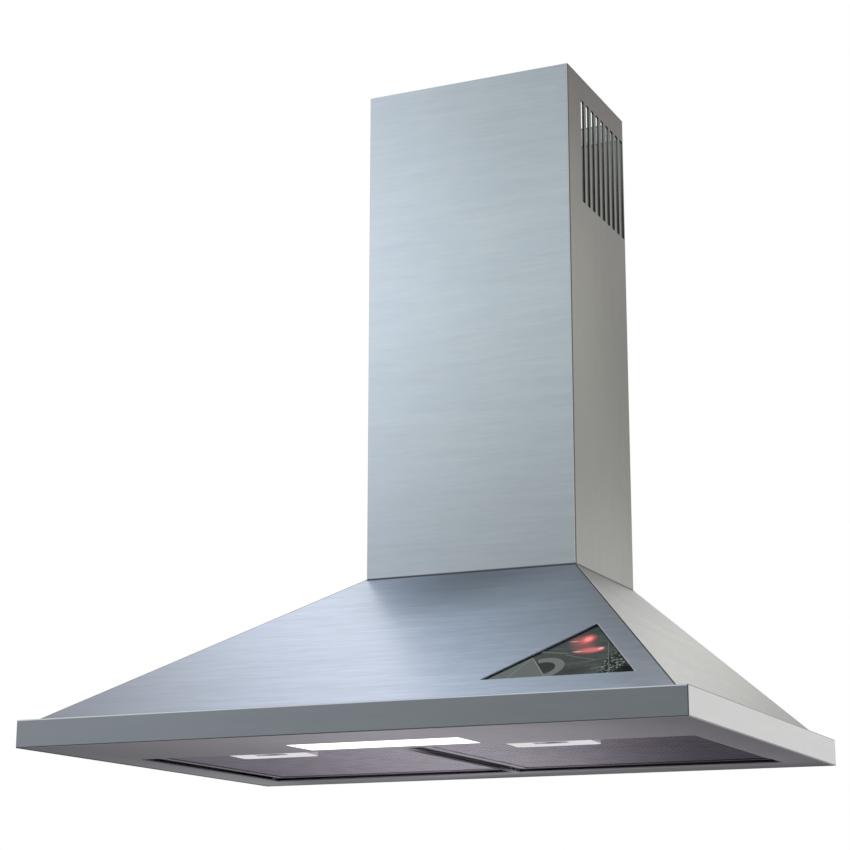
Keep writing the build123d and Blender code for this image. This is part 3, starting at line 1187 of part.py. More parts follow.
def wiring():
    """Leads from the terminal box to the control panel, the lamp and the motor."""
    back = BOX_FRONT + BOX_WALL
    control, lamp, motor = lead_ends()
    panel_out = (FRONT_FACE * Pos(0, CORNER_REACH / 3, HOUSING_BACK + HOUSING_WALL)).position
    panel_down = (FRONT_FACE * Pos(0, CORNER_REACH / 3, HOUSING_BACK - 20)).position
    control_lead = lead(
        tuple(panel_out), tuple(panel_down),
        (control[0] + 34, panel_down.Y + 40, panel_down.Z + 1),
        (control[0] + 28, panel_down.Y + 100, panel_down.Z + 14),
        (control[0] + 10, panel_down.Y + 170, control[1] - 18),
        (control[0] + 2, BOX_FRONT - 72, control[1] - 4),
        (control[0], BOX_FRONT - 22, control[1]), (control[0], back, control[1]),
    )
    lamp_lead = lead(
        (LAMP_BOX_HALF, LAMP_MIDDLE, BULB_Z), (LAMP_BOX_HALF + 16, LAMP_MIDDLE, BULB_Z),
        (LAMP_BOX_HALF + 32, LAMP_MIDDLE + 22, BULB_Z + 5), (lamp[0] - 3, LAMP_MIDDLE + 70, BULB_Z + 14),
        (lamp[0] + 1, LAMP_MIDDLE + 140, BULB_Z + 22), (lamp[0] + 3, LAMP_MIDDLE + 205, BULB_Z + 34),
        (lamp[0], BOX_FRONT - 64, lamp[1] - 4), (lamp[0], BOX_FRONT - 20, lamp[1]),
        (lamp[0], back, lamp[1]),
    )
    hub = grommet_x()[1] + BRACKET_SHEET
    motor_lead = lead(
        (hub, WHEEL_Y, WHEEL_Z), (hub + 16, WHEEL_Y, WHEEL_Z), (motor[0] - 8, WHEEL_Y + 16, WHEEL_Z - 2),
        (motor[0], BOX_FRONT - 24, motor[1]), (motor[0], back, motor[1]),
    )
    return [control_lead, lamp_lead, motor_lead]


# ------------------------------------------------------------------ write every piece
write("canopy_front_panel", front_panel())
write("canopy_right_panel", side_panel())
write("canopy_left_panel", mirrored(side_panel()))
write("canopy_back_panel", back_panel())
write("canopy_top_plate", top_plate())
write("rim_band", rim_band())
write("underside_panel", underside_panel())
brackets = [hinge_bracket(True), hinge_bracket(False)]
write("filter_hinge_brackets", *brackets, *[mirrored(bracket) for bracket in brackets])
write("filter_front_rails", front_rail(), mirrored(front_rail()))

filter_pieces = {
    "frame": [filter_frame()],
    "mesh": [filter_layer(FILTER_BASE + FILTER_SHEET, FILTER_BASE + FILTER_SHEET + MESH_THICKNESS)],
    "core": filter_core(),
    "handle": [filter_handle()],
    "latch": [filter_latch()],
    "latch_springs": latch_springs(),
}
for piece, solids in filter_pieces.items():
    write(f"filter_right_{piece}", *solids)
    write(f"filter_left_{piece}", *[mirrored(solid) for solid in solids])

write("lamp_housing", lamp_housing())
write("lamp_reflector", lamp_reflector())
write("lampholder", lampholder())
write("lamp_bulb", lamp_bulb())
write("lamp_bulb_cap", lamp_bulb_cap())
write("lamp_cover", lamp_cover())

write("control_gasket", control_gasket())
write("control_glass", control_glass())
write("control_housing", control_housing())
write("control_board", control_board())
write("control_leds", *control_leds())
write("control_touch_springs", *control_touch_springs())
write("control_nuts", *control_nuts())

write("chimney_lower_cover", chimney_cover(0, CHIMNEY_FOOT, TOP))
write("chimney_upper_cover", chimney_cover(UPPER_INSET, UPPER_BASE, UPPER_TOP))
write("chimney_bracket", chimney_bracket())
write("chimney_bracket_screws", *chimney_bracket_screws())

write("blower_housing_right", blower_housing())
write("blower_housing_left", mirrored(blower_housing()))
write("impeller", impeller())
write("impeller_nut", impeller_nut())
write("motor_shaft", rod_x(SHAFT_RADIUS, shaft_limits(), WHEEL_Y, WHEEL_Z))
write("motor_rotor", axle_ring(STATOR_BORE - AIR_GAP, SHAFT_RADIUS, stator_limits()))
write("motor_stator", axle_ring(STATOR_OUTER, STATOR_BORE, stator_limits()))
write("motor_windings", *motor_windings())
write("motor_casing", motor_casing())
bearing_bore = SHAFT_RADIUS + SHAFT_RUNNING
write("motor_bearings", *[axle_ring(BEARING_RADIUS, bearing_bore, x) for x in bearing_limits()])
write("motor_bracket", motor_bracket())
write("motor_grommets", *motor_grommets())

write("outlet_collar", outlet_collar())
write("flap_front", flap(-1))
write("flap_rear", flap(1))
write("flap_pin", rod_x(FLAP_PIN_RADIUS, (-COLLAR_RADIUS, COLLAR_RADIUS), COLLAR_Y, FLAP_Z))
write("screws", *panel_screws(), *bracket_screws())
write("cable_gland", cable_gland())
write("terminal_box", terminal_box())
write("terminal_box_lid", terminal_box_lid())
write("capacitor", rod_z(CAPACITOR_RADIUS, *capacitor_place(), around(BOX_MIDDLE_Z, CAPACITOR_LENGTH)))
write("wiring", *wiring())
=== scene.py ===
"""Looks of a wall-hung chimney range hood: finishes for its CAD pieces, and the pieces modelled here.

Metres, in the hood's own frame: X to the cook's right, Y back to the wall, Z up, the origin on the
wall plane in the hood's middle, level with the underside of its rim.
"""
import logging
import math
from abc import ABC, abstractmethod
from dataclasses import dataclass
from enum import Enum
from typing import Any, ClassVar, Iterable, Optional, Sequence, Union

import bmesh
import bpy
from mathutils import Matrix, Vector


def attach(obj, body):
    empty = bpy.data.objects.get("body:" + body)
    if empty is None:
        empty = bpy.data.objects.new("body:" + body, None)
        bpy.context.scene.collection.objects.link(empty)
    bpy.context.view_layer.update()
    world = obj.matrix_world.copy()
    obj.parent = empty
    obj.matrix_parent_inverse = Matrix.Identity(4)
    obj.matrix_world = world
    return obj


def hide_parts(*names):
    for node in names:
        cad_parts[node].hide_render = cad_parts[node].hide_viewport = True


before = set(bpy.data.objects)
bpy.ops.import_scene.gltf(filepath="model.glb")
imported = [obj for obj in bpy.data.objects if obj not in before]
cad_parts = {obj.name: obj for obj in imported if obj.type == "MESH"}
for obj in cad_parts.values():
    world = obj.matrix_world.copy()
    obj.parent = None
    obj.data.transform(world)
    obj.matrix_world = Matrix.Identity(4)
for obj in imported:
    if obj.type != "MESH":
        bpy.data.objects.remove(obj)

LOG = logging.getLogger("range_hood")
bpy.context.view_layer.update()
MM = 0.001

Point = tuple[float, float, float]
Tone = tuple[float, float, float]


def tone(red: float, green: float, blue: float) -> Tone:
    """A colour from its 0 to 255 screen values.

    Args:
        red: red on screen.
        green: green on screen.
        blue: blue on screen.

    Returns:
        The linear colour that a shader takes.
    """
    linear = []
    for value in (red, green, blue):
        share = value / 255
        linear.append(share / 12.92 if share <= 0.04045 else ((share + 0.055) / 1.055) ** 2.4)
    return tuple(linear)


class Grain(Enum):
    """The way that brushing runs on a sheet: the number of the axis along it."""

    ACROSS = 0
    FRONT_TO_BACK = 1
    UPRIGHT = 2

    def stretch(self, length: float, thickness: float) -> Point:
        """How a noise is stretched into brush lines.

        Args:
            length: a line's length.
            thickness: its thickness.

        Returns:
            Cycles per metre along X, Y and Z.
        """
        scale = [1 / thickness] * 3
        scale[self.value] = 1 / length
        return tuple(scale)


class Blend(Enum):
    """How a tone goes over the one under it."""

    COVER = "MIX"
    SHADE = "MULTIPLY"


# ---------------------------------------------------------------- shader writing
class Wire:
    """A value that runs between shader nodes, with the sums that masks are written in."""

    def __init__(self, nodes: "Nodes", socket: bpy.types.NodeSocket) -> None:
        """Keep the tree and the socket that the value comes out of."""
        self.nodes = nodes
        self.socket = socket

    def _math(self, operation: str, *values: "Feed", clamp: bool = False) -> "Wire":
        """Add one Math node.

        Args:
            operation: the Math node's operation.
            values: its inputs in order.
            clamp: whether the result is held between 0 and 1.

        Returns:
            The result.
        """
        settings = {"operation": operation, "use_clamp": clamp}
        return self.nodes.node("ShaderNodeMath", settings, dict(enumerate(values)))

    def __add__(self, other: "Feed") -> "Wire":
        """This value plus another."""
        return self._math("ADD", self, other)

    def __radd__(self, other: "Feed") -> "Wire":
        """Another value plus this one."""
        return self._math("ADD", other, self)

    def __sub__(self, other: "Feed") -> "Wire":
        """This value less another."""
        return self._math("SUBTRACT", self, other)

    def __rsub__(self, other: "Feed") -> "Wire":
        """Another value less this one."""
        return self._math("SUBTRACT", other, self)

    def __mul__(self, other: "Feed") -> "Wire":
        """This value times another."""
        return self._math("MULTIPLY", self, other)

    def __rmul__(self, other: "Feed") -> "Wire":
        """Another value times this one."""
        return self._math("MULTIPLY", other, self)

    def __truediv__(self, other: "Feed") -> "Wire":
        """This value over another."""
        return self._math("DIVIDE", self, other)

    def __rtruediv__(self, other: "Feed") -> "Wire":
        """Another value over this one."""
        return self._math("DIVIDE", other, self)

    def __abs__(self) -> "Wire":
        """The value without its sign."""
        return self._math("ABSOLUTE", self)

    def fraction(self) -> "Wire":
        """What is left after the whole number."""
        return self._math("FRACT", self)

    def sine(self) -> "Wire":
        """The value's sine."""
        return self._math("SINE", self)

    def highest(self, other: "Feed") -> "Wire":
        """The higher of this value and another."""
        return self._math("MAXIMUM", self, other)

    def step(self, start: float, end: float, low: float = 0.0, high: float = 1.0) -> "Wire":
        """A soft step.

        Args:
            start: value at which the step starts.
            end: value at which it ends.
            low: result at and before the start.
            high: result at and after the end.

        Returns:
            The stepped value.
        """
        settings = {"interpolation_type": "SMOOTHSTEP", "clamp": True}
        feeds = {"Value": self, "From Min": start, "From Max": end, "To Min": low, "To Max": high}
        return self.nodes.node("ShaderNodeMapRange", settings, feeds)


Feed = Union[Wire, float, int, Sequence[float]]


class Nodes:
    """A node tree while it is being written."""

    def __init__(self, tree: bpy.types.NodeTree) -> None:
        """Keep the tree and empty it."""
        self.tree = tree
        tree.nodes.clear()

    def add(self, kind: str, settings: dict[str, Any], feeds: dict[Any, Feed]) -> bpy.types.Node:
        """Add any node.

        Args:
            kind: the node's type.
            settings: its properties, set before its sockets; a "stops" entry fills a ramp.
            feeds: values or wires for its inputs, by socket name or number.

        Returns:
            The node.
        """
        node = self.tree.nodes.new(kind)
        for name, value in settings.items():
            if name == "stops":
                self._fill_ramp(node, value)
            else:
                setattr(node, name, value)
        for key, feed in feeds.items():
            socket = node.inputs[key]
            if isinstance(feed, Wire):
                self.tree.links.new(feed.socket, socket)
            elif isinstance(feed, (int, float)):
                socket.default_value = feed
            else:
                wanted = len(socket.default_value)
                socket.default_value = tuple(feed) + (1.0,) * (wanted - len(feed))
        return node

    @staticmethod
    def _fill_ramp(node: bpy.types.Node, stops: Sequence[tuple[float, Tone]]) -> None:
        """Give a Color Ramp its stops.

        Args:
            node: the ramp's node.
            stops: places from 0 to 1 and their colours.
        """
        elements = node.color_ramp.elements
        while len(elements) < len(stops):
            elements.new(0.5)
        node.color_ramp.interpolation = "B_SPLINE"
        for element, (place, colour) in zip(elements, stops):
            element.position = place
            element.color = (*colour, 1.0)

    def node(
        self, kind: str, settings: dict[str, Any], feeds: dict[Any, Feed], output: Union[int, str] = 0
    ) -> Wire:
        """Add any node and take one of its outputs.

        Args:
            kind: the node's type.
            settings: its properties.
            feeds: its inputs.
            output: the output wanted, by number or name.

        Returns:
            The output.
        """
        return Wire(self, self.add(kind, settings, feeds).outputs[output])


class Paint(Nodes):
    """A material while it is being written."""

    def __init__(self, name: str) -> None:
        """Start an empty material of the given name."""
        self.material = bpy.data.materials.new(name)
        self.material.use_nodes = True
        super().__init__(self.material.node_tree)

    def place(self) -> Wire:
        """Where a point of the piece is, in the hood's frame."""
        return self.node("ShaderNodeTexCoord", {}, {}, "Object")

    def facing(self) -> Wire:
        """Which way the surface looks, in the piece's own frame."""
        return self.node("ShaderNodeTexCoord", {}, {}, "Normal")

    def vector(self, operation: str, first: Feed, second: Feed, output: Union[int, str] = 0) -> Wire:
        """Add a Vector Math node.

        Args:
            operation: what it does.
            first: first vector.
            second: second vector.
            output: "Value" for a length or dot product.

        Returns:
            The result.
        """
        return self.node("ShaderNodeVectorMath", {"operation": operation}, {0: first, 1: second}, output)

    def axes(self, vector: Wire) -> tuple[Wire, Wire, Wire]:
        """Split a vector.

        Args:
            vector: the vector to split.

        Returns:
            Its X, Y and Z.
        """
        node = self.add("ShaderNodeSeparateXYZ", {}, {0: vector})
        return tuple(Wire(self, node.outputs[number]) for number in range(3))

    def blend(self, factor: Feed, first: Feed, second: Feed, way: Blend = Blend.COVER) -> Wire:
        """Mix two colours.

        Args:
            factor: share of the second colour.
            first: first colour.
            second: second colour.
            way: how the second goes over the first.

        Returns:
            The mixed colour.
        """
        settings = {"data_type": "RGBA", "blend_type": way.value, "clamp_factor": True}
        return self.node("ShaderNodeMix", settings, {0: factor, 6: first, 7: second}, 2)

    def noise(self, vector: Feed, scale: float, detail: float = 2.0, roughness: float = 0.5) -> Wire:
        """Add a Noise texture.

        Args:
            vector: where it is read.
            scale: cycles per unit.
            detail: octaves.
            roughness: weight of the finer octaves.

        Returns:
            The noise, about 0.5.
        """
        feeds = {"Vector": vector, "Scale": scale, "Detail": detail, "Roughness": roughness}
        return self.node("ShaderNodeTexNoise", {}, feeds, 0)

    def brushing(self, grain: Grain, length: float, thickness: float) -> Wire:
        """Noise drawn out along one way, as on brushed metal.

        Args:
            grain: the way it runs.
            length: a line's length.
            thickness: its thickness.

        Returns:
            The noise, about 0.5.
        """
        return self.noise(self.vector("MULTIPLY", self.place(), grain.stretch(length, thickness)), 1.0)

    def bump(self, height: Wire, depth: float, strength: float = 1.0) -> Wire:
        """Turn a height into a normal.

        Args:
            height: the height, 0 to 1.
            depth: how deep 1 is, in metres.
            strength: share of the effect.

        Returns:
            The normal.
        """
        return self.node("ShaderNodeBump", {}, {"Height": height, "Distance": depth, "Strength": strength})

    def finish(self, feeds: dict[str, Feed]) -> bpy.types.Material:
        """Close the material with a Principled shader.

        Args:
            feeds: the shader's inputs by name.

        Returns:
            The material.
        """
        shader = self.node("ShaderNodeBsdfPrincipled", {}, feeds)
        self.add("ShaderNodeOutputMaterial", {}, {"Surface": shader})
        return self.material


# ---------------------------------------------------------------- areas of a sheet
@dataclass(frozen=True, kw_only=True)
class Area(ABC):
    """Part of a sheet with another tone, mostly painted light or shade; where it looks one way, it keeps to
    the faces turned there.
    """

    looks: Optional[Point] = None
    way: Blend = Blend.COVER

    @abstractmethod
    def share_at(self, paint: Paint) -> Feed:
        """How much of the area's tone a point takes.

        Args:
            paint: the material being written.

        Returns:
            A share from 0 to 1.
        """

    @abstractmethod
    def tone_at(self, paint: Paint) -> Feed:
        """The area's tone at a point.

        Args:
            paint: the material being written.

        Returns:
            The tone.
        """

    def lay(self, paint: Paint, colour: Feed) -> Wire:
        """Lay the area over a colour.

        Args:
            paint: the material being written.
            colour: the colour under it.

        Returns:
            The colour with the area on it.
        """
        share = self.share_at(paint)
        if self.looks is not None:
            turned = paint.vector("DOT_PRODUCT", paint.facing(), self.looks, "Value")
            share = turned.step(0.5, 0.8) * share
        return paint.blend(share, colour, self.tone_at(paint), self.way)


@dataclass(frozen=True)
class Patch(Area):
    """A soft round area."""

    centre: Point
    reach: Point
    colour: Tone
    share: float = 1.0
    core: float = 0.0

    def share_at(self, paint: Paint) -> Wire:
        """How much of the patch a point takes, by its distance from the middle.

        Args:
            paint: the material being written.

        Returns:
            The share, falling to 0 at the patch's reach.
        """
        offset = paint.vector("SUBTRACT", paint.place(), self.centre)
        away = paint.vector("LENGTH", paint.vector("DIVIDE", offset, self.reach), (0, 0, 0), "Value")
        return away.step(self.core, 1.0, self.share, 0.0)

    def tone_at(self, paint: Paint) -> Feed:
        """The patch's one tone."""
        return self.colour


@dataclass(frozen=True)
class Speckle(Patch):
    """A soft round area broken up by specks of another tone."""

    speck: Tone = (0.2, 0.2, 0.2)
    size: float = 2.4 * MM

    def tone_at(self, paint: Paint) -> Wire:
        """The patch's tone with its specks.

        Args:
            paint: the material being written.

        Returns:
            The tone.
        """
        grit = paint.noise(paint.place(), 1 / self.size, 2.0, 0.7)
        return paint.blend(grit.step(0.52, 0.68), self.colour, self.speck)


@dataclass(frozen=True)
class EdgeLine(Area):
    """A thin painted highlight or shade line along a fold, seam or cut edge: what lies between two levels
    along one direction.
    """

    across: Point
    low: float
    high: float
    colour: Tone
    soft: float = 0.25 * MM

    def share_at(self, paint: Paint) -> Wire:
        """How much of the line a point takes.

        Args:
            paint: the material being written.

        Returns:
            1 on the line and 0 off it, with soft sides.
        """
        level = paint.vector("DOT_PRODUCT", paint.place(), self.across, "Value")
        start = level.step(self.low - self.soft, self.low + self.soft)
        return start * level.step(self.high - self.soft, self.high + self.soft, 1.0, 0.0)

    def tone_at(self, paint: Paint) -> Feed:
        """The line's one tone."""
        return self.colour


@dataclass(frozen=True)
class Wash(Area):
    """Tones that follow each other across a sheet: painted light and shade, as a big soft light shows in
    brushed metal.
    """

    start: Point
    end: Point
    stops: tuple[tuple[float, Tone], ...]
    sway: float = 0.05

    def share_at(self, paint: Paint) -> Feed:
        """The wash covers the whole sheet."""
        return 1.0

    def tone_at(self, paint: Paint) -> Wire:
        """The tone at a point's place between start and end.

        Args:
            paint: the material being written.

        Returns:
            The tone.
        """
        run = Vector(self.end) - Vector(self.start)
        offset = paint.vector("SUBTRACT", paint.place(), self.start)
        along = paint.vector("DOT_PRODUCT", offset, tuple(run / run.length_squared), "Value")
        drift = (paint.noise(paint.place(), 12.0) - 0.5) * self.sway
        return paint.node("ShaderNodeValToRGB", {"stops": self.stops}, {0: along + drift})


@dataclass(frozen=True)
class CoverInsideShade(Area):
    """The inside of a folded cover, and the cut edges of the vents in its sides, darkened with painted shade.
    """

    half_width: float
    front: float
    colour: Tone

    def share_at(self, paint: Paint) -> Wire:
        """How much of a point is inside the cover or on a vent's cut edge.

        Args:
            paint: the material being written.

        Returns:
            1 inside and on the cut edges.
        """
        x, y, _ = paint.axes(paint.place())
        outer, inner = 0.60 * MM, 0.76 * MM
        skin = abs(x).step(self.half_width - inner, self.half_width - outer)
        skin = skin.highest(y.step(self.front + outer, self.front + inner, 1.0, 0.0))
        cut = abs(paint.axes(paint.facing())[1]).step(0.6, 0.8)
        cut = cut * abs(x).step(self.half_width - 1.0 * MM, self.half_width - 0.9 * MM)
        cut = cut * y.step(self.front + 4 * MM, self.front + 6 * MM)
        return (1 - skin).highest(cut)

    def tone_at(self, paint: Paint) -> Feed:
        """The painted shade's one tone."""
        return self.colour


# ---------------------------------------------------------------- finishes
class Finish(ABC):
    """Any surface finish, made into one material and used again."""

    name: str
    made: ClassVar[dict["Finish", bpy.types.Material]] = {}

    @abstractmethod
    def write(self, paint: Paint) -> bpy.types.Material:
        """Write the finish's nodes.

        Args:
            paint: the empty material.

        Returns:
            The finished material.
        """

    def material(self) -> bpy.types.Material:
        """The finish's material, made once."""
        if self not in Finish.made:
            Finish.made[self] = self.write(Paint(self.name))
        return Finish.made[self]


@dataclass(frozen=True)
class BrushedSteel(Finish):
    """Brushed stainless sheet: wide bands, dashes and hairlines on tones that drift over the sheet.

    The band, dash and hair are the length and thickness of its brush lines. Its areas are painted light and
    shade. Its edge is how bright it gets at a grazing angle, where 1 is white, and its hollow is painted
    shade in a recess, drawn dark and not metallic.
    """

    name: str
    colour: Tone
    grain: Grain = Grain.ACROSS
    side_grain: Optional[Grain] = None
    areas: tuple[Area, ...] = ()
    roughness: float = 0.36
    streaks: float = 0.12
    depth: float = 12e-6
    band: tuple[float, float] = (110 * MM, 9 * MM)
    dash: tuple[float, float] = (38 * MM, 2.4 * MM)
    hair: tuple[float, float] = (12 * MM, 0.9 * MM)
    edge: float = 1.0
    shade_in_hollow: Optional[Patch] = None

    def lines(self, paint: Paint, size: tuple[float, float]) -> Wire:
        """The brushing, turned on folded sides where the sheet has them.

        Args:
            paint: the material being written.
            size: length and thickness of its lines.

        Returns:
            Noise about 0.
        """
        lines = paint.brushing(self.grain, *size)
        if self.side_grain is not None:
            across = abs(paint.axes(paint.facing())[0]).step(0.55, 0.8)
            lines = lines * (1 - across) + paint.brushing(self.side_grain, *size) * across
        return lines - 0.5

    def write(self, paint: Paint) -> bpy.types.Material:
        """Write the finish's nodes.

        Args:
            paint: the empty material.

        Returns:
            The finished material.
        """
        colour: Feed = self.colour
        for area in self.areas:
            colour = area.lay(paint, colour)
        bands, dashes, hairs = (self.lines(paint, size) for size in (self.band, self.dash, self.hair))
        level = bands + dashes * 1.3 + hairs * 1.2 + 0.5
        dim = paint.vector("MULTIPLY", colour, (1 - self.streaks,) * 3)
        bright = paint.vector("MULTIPLY", colour, (1 + self.streaks,) * 3)
        colour = paint.blend(level, dim, bright)
        cool = (0.965, 0.975, 1.0)
        cloud = paint.noise(paint.place(), 24.0)
        colour = paint.blend(cloud.step(0.35, 0.65) * 0.6, colour, cool, Blend.SHADE)
        metal: Feed = 1.0
        # Painted shade in a hollow: the colour goes dark and the metal is turned off there.
        if self.shade_in_hollow is not None:
            colour = self.shade_in_hollow.lay(paint, colour)
            metal = 1 - self.shade_in_hollow.share_at(paint)
        rough = self.roughness + hairs * 0.16 + dashes * 0.08
        feeds = {"Base Color": colour, "Metallic": metal, "Roughness": rough}
        feeds["Specular Tint"] = (self.edge,) * 3
        feeds["Normal"] = paint.bump(hairs * 0.6 + dashes * 0.4, self.depth)
        return paint.finish(feeds)


@dataclass(frozen=True)
class Galvanised(Finish):
    """Zinc-coated sheet with its spangle."""

    name: str
    colour: Tone
    grain_size: float = 7 * MM

    def write(self, paint: Paint) -> bpy.types.Material:
        """Write the finish's nodes.

        Args:
            paint: the empty material.

        Returns:
            The finished material.
        """
        feeds = {"Vector": paint.place(), "Scale": 1 / self.grain_size}
        crystals = paint.node("ShaderNodeTexVoronoi", {}, feeds, "Color")
        flake = paint.axes(crystals)[0]
        cloud = paint.noise(paint.place(), 14.0, 3.0)
        dull = tuple(0.72 * value for value in self.colour)
        colour = paint.blend(flake * 0.6 + (cloud - 0.3) * 0.5, self.colour, dull)
        scratch = paint.noise(paint.place(), 900.0, 2.0)
        rough = 0.38 + flake * 0.14 + (cloud - 0.5) * 0.2
        feeds = {"Base Color": colour, "Metallic": 0.9, "Roughness": rough}
        feeds["Normal"] = paint.bump(scratch, 15e-6)
        return paint.finish(feeds)


@dataclass(frozen=True)
class ExpandedAluminium(Finish):
    """Aluminium mesh strands, with painted lamp light that is brightest near the lamp, and darker in wavy
    rows.
    """

    name: str
    shade: Tone
    areas: tuple[Area, ...]

    def write(self, paint: Paint) -> bpy.types.Material:
        """Write the finish's nodes.

        Args:
            paint: the empty material.

        Returns:
            The finished material.
        """
        colour: Feed = self.shade
        for area in self.areas:
            colour = area.lay(paint, colour)
        x, y, _ = paint.axes(paint.place())
        sway = (y * 58.0 + x * 14.0).sine() * 3.2
        dots = (y * 520.0 + x * 120.0).sine() * 0.22
        wave = (x * 1366.0 + sway).sine() * 0.55 + 0.5 + dots
        cloud = paint.noise(paint.place(), 60.0, 3.0)
        dull = paint.blend(1.0, colour, self.shade, Blend.SHADE)
        colour = paint.blend(wave * 0.75 + (cloud - 0.6) * 0.4, colour, dull)
        scratch = paint.noise(paint.place(), 2400.0, 2.0)
        feeds = {"Base Color": colour, "Metallic": 0.95, "Roughness": 0.34 + cloud * 0.2}
        feeds["Normal"] = paint.bump(scratch, 25e-6)
        return paint.finish(feeds)


@dataclass(frozen=True)
class MeshLayers(Finish):
    """The inner mesh layers as one sees them through the outer one: diamonds in shadow."""

    name: str
    strand: Tone
    gap: Tone
    pitch_x: float
    pitch_y: float

    def write(self, paint: Paint) -> bpy.types.Material:
        """Write the finish's nodes.

        Args:
            paint: the empty material.

        Returns:
            The finished material.
        """
        x, y, z = paint.axes(paint.place())
        skew = (y * 21.0).sine() * 0.35
        across = abs((x / self.pitch_x + skew + z * 130.0).fraction() - 0.5)
        along = abs((y / self.pitch_y + (x * 17.0).sine() * 0.25 + z * 210.0).fraction() - 0.5)
        strand = abs(across + along - 0.5).step(0.07, 0.15, 1.0, 0.0)
        colour = paint.blend(strand, self.gap, self.strand)
        feeds = {"Base Color": colour, "Metallic": 0.8, "Roughness": 0.5 - strand * 0.1}
        feeds["Normal"] = paint.bump(strand, 0.25 * MM, 0.8)
        return paint.finish(feeds)


@dataclass(frozen=True)
class Moulded(Finish):
    """Injection-moulded plastic with a fine spark-eroded texture."""

    name: str
    colour: Tone
    roughness: float = 0.5
    texture: float = 18e-6
    gloss: float = 0.5

    def write(self, paint: Paint) -> bpy.types.Material:
        """Write the finish's nodes.

        Args:
            paint: the empty material.

        Returns:
            The finished material.
        """
        grit = paint.noise(paint.place(), 1800.0, 2.0)
        flow = paint.noise(paint.place(), 22.0, 3.0)
        darker = tuple(0.8 * value for value in self.colour)
        colour = paint.blend((flow - 0.35) * 1.2, self.colour, darker)
        rough = self.roughness + (flow - 0.5) * 0.18 + (grit - 0.5) * 0.1
        feeds = {"Base Color": colour, "Roughness": rough, "Specular IOR Level": self.gloss}
        feeds["Normal"] = paint.bump(grit, self.texture)
        return paint.finish(feeds)


@dataclass(frozen=True)
class Rubber(Finish):
    """Matte black rubber with a bloom of dust on it."""

    name: str
    colour: Tone

    def write(self, paint: Paint) -> bpy.types.Material:
        """Write the finish's nodes.

        Args:
            paint: the empty material.

        Returns:
            The finished material.
        """
        bloom = paint.noise(paint.place(), 120.0, 4.0)
        colour = paint.blend(bloom.step(0.5, 0.8) * 0.35, self.colour, (0.09, 0.09, 0.095))
        feeds = {"Base Color": colour, "Roughness": 0.72 + (bloom - 0.5) * 0.2}
        feeds["Normal"] = paint.bump(paint.noise(paint.place(), 1400.0, 2.0), 30e-6)
        return paint.finish(feeds)


@dataclass(frozen=True)
class Plated(Finish):
    """Plated or ground metal, with turning marks."""

    name: str
    colour: Tone
    roughness: float = 0.22
    turning: Optional[Grain] = None

    def write(self, paint: Paint) -> bpy.types.Material:
        """Write the finish's nodes.

        Args:
            paint: the empty material.

        Returns:
            The finished material.
        """
        film = paint.noise(paint.place(), 180.0, 3.0)
        if self.turning is None:
            marks = paint.noise(paint.place(), 2600.0)
        else:
            marks = paint.brushing(self.turning, 20 * MM, 0.6 * MM)
        darker = tuple(0.75 * value for value in self.colour)
        colour = paint.blend((film - 0.4) * 1.1, self.colour, darker)
        rough = self.roughness + (film - 0.5) * 0.16 + (marks - 0.5) * 0.12
        feeds = {"Base Color": colour, "Metallic": 1.0, "Roughness": rough}
        feeds["Normal"] = paint.bump(marks, 10e-6)
        return paint.finish(feeds)


@dataclass(frozen=True)
class Striped(Finish):
    """Stacked laminations, wound wire or a cut thread: lines square to one axis."""

    name: str
    colour: Tone
    groove: Tone
    axis: int
    pitch: float
    metal: float = 1.0
    roughness: float = 0.35
    depth: float = 0.12 * MM

    def write(self, paint: Paint) -> bpy.types.Material:
        """Write the finish's nodes.

        Args:
            paint: the empty material.

        Returns:
            The finished material.
        """
        along = paint.axes(paint.place())[self.axis]
        ridge = abs((along / self.pitch).fraction() - 0.5) * 2.0
        line = ridge.step(0.0, 0.45, 1.0, 0.0)
        wear = paint.noise(paint.place(), 320.0, 3.0)
        colour = paint.blend(line * 0.85, self.colour, self.groove)
        darker = tuple(0.7 * value for value in self.colour)
        colour = paint.blend((wear - 0.45) * 0.9, colour, darker)
        feeds = {"Base Color": colour, "Metallic": self.metal, "Roughness": self.roughness + line * 0.2}
        feeds["Normal"] = paint.bump(ridge.step(0.0, 0.9), self.depth)
        return paint.finish(feeds)


@dataclass(frozen=True)
class Glowing(Finish):
    """A lit surface with brighter areas."""

    name: str
    colour: Tone
    light: Tone
    lights: tuple[Area, ...]
    strength: float
    roughness: float = 0.3

    def write(self, paint: Paint) -> bpy.types.Material:
        """Write the finish's nodes.

        Args:
            paint: the empty material.

        Returns:
            The finished material.
        """
        light: Feed = self.light
        for area in self.lights:
            light = area.lay(paint, light)
        frost = paint.noise(paint.place(), 1500.0, 2.0)
        light = paint.blend(frost, paint.vector("MULTIPLY", light, (0.97,) * 3), light)
        feeds = {"Base Color": self.colour, "Roughness": self.roughness + (frost - 0.5) * 0.2}
        feeds.update({"Emission Color": light, "Emission Strength": self.strength})
        feeds["Normal"] = paint.bump(frost, 20e-6)
        return paint.finish(feeds)


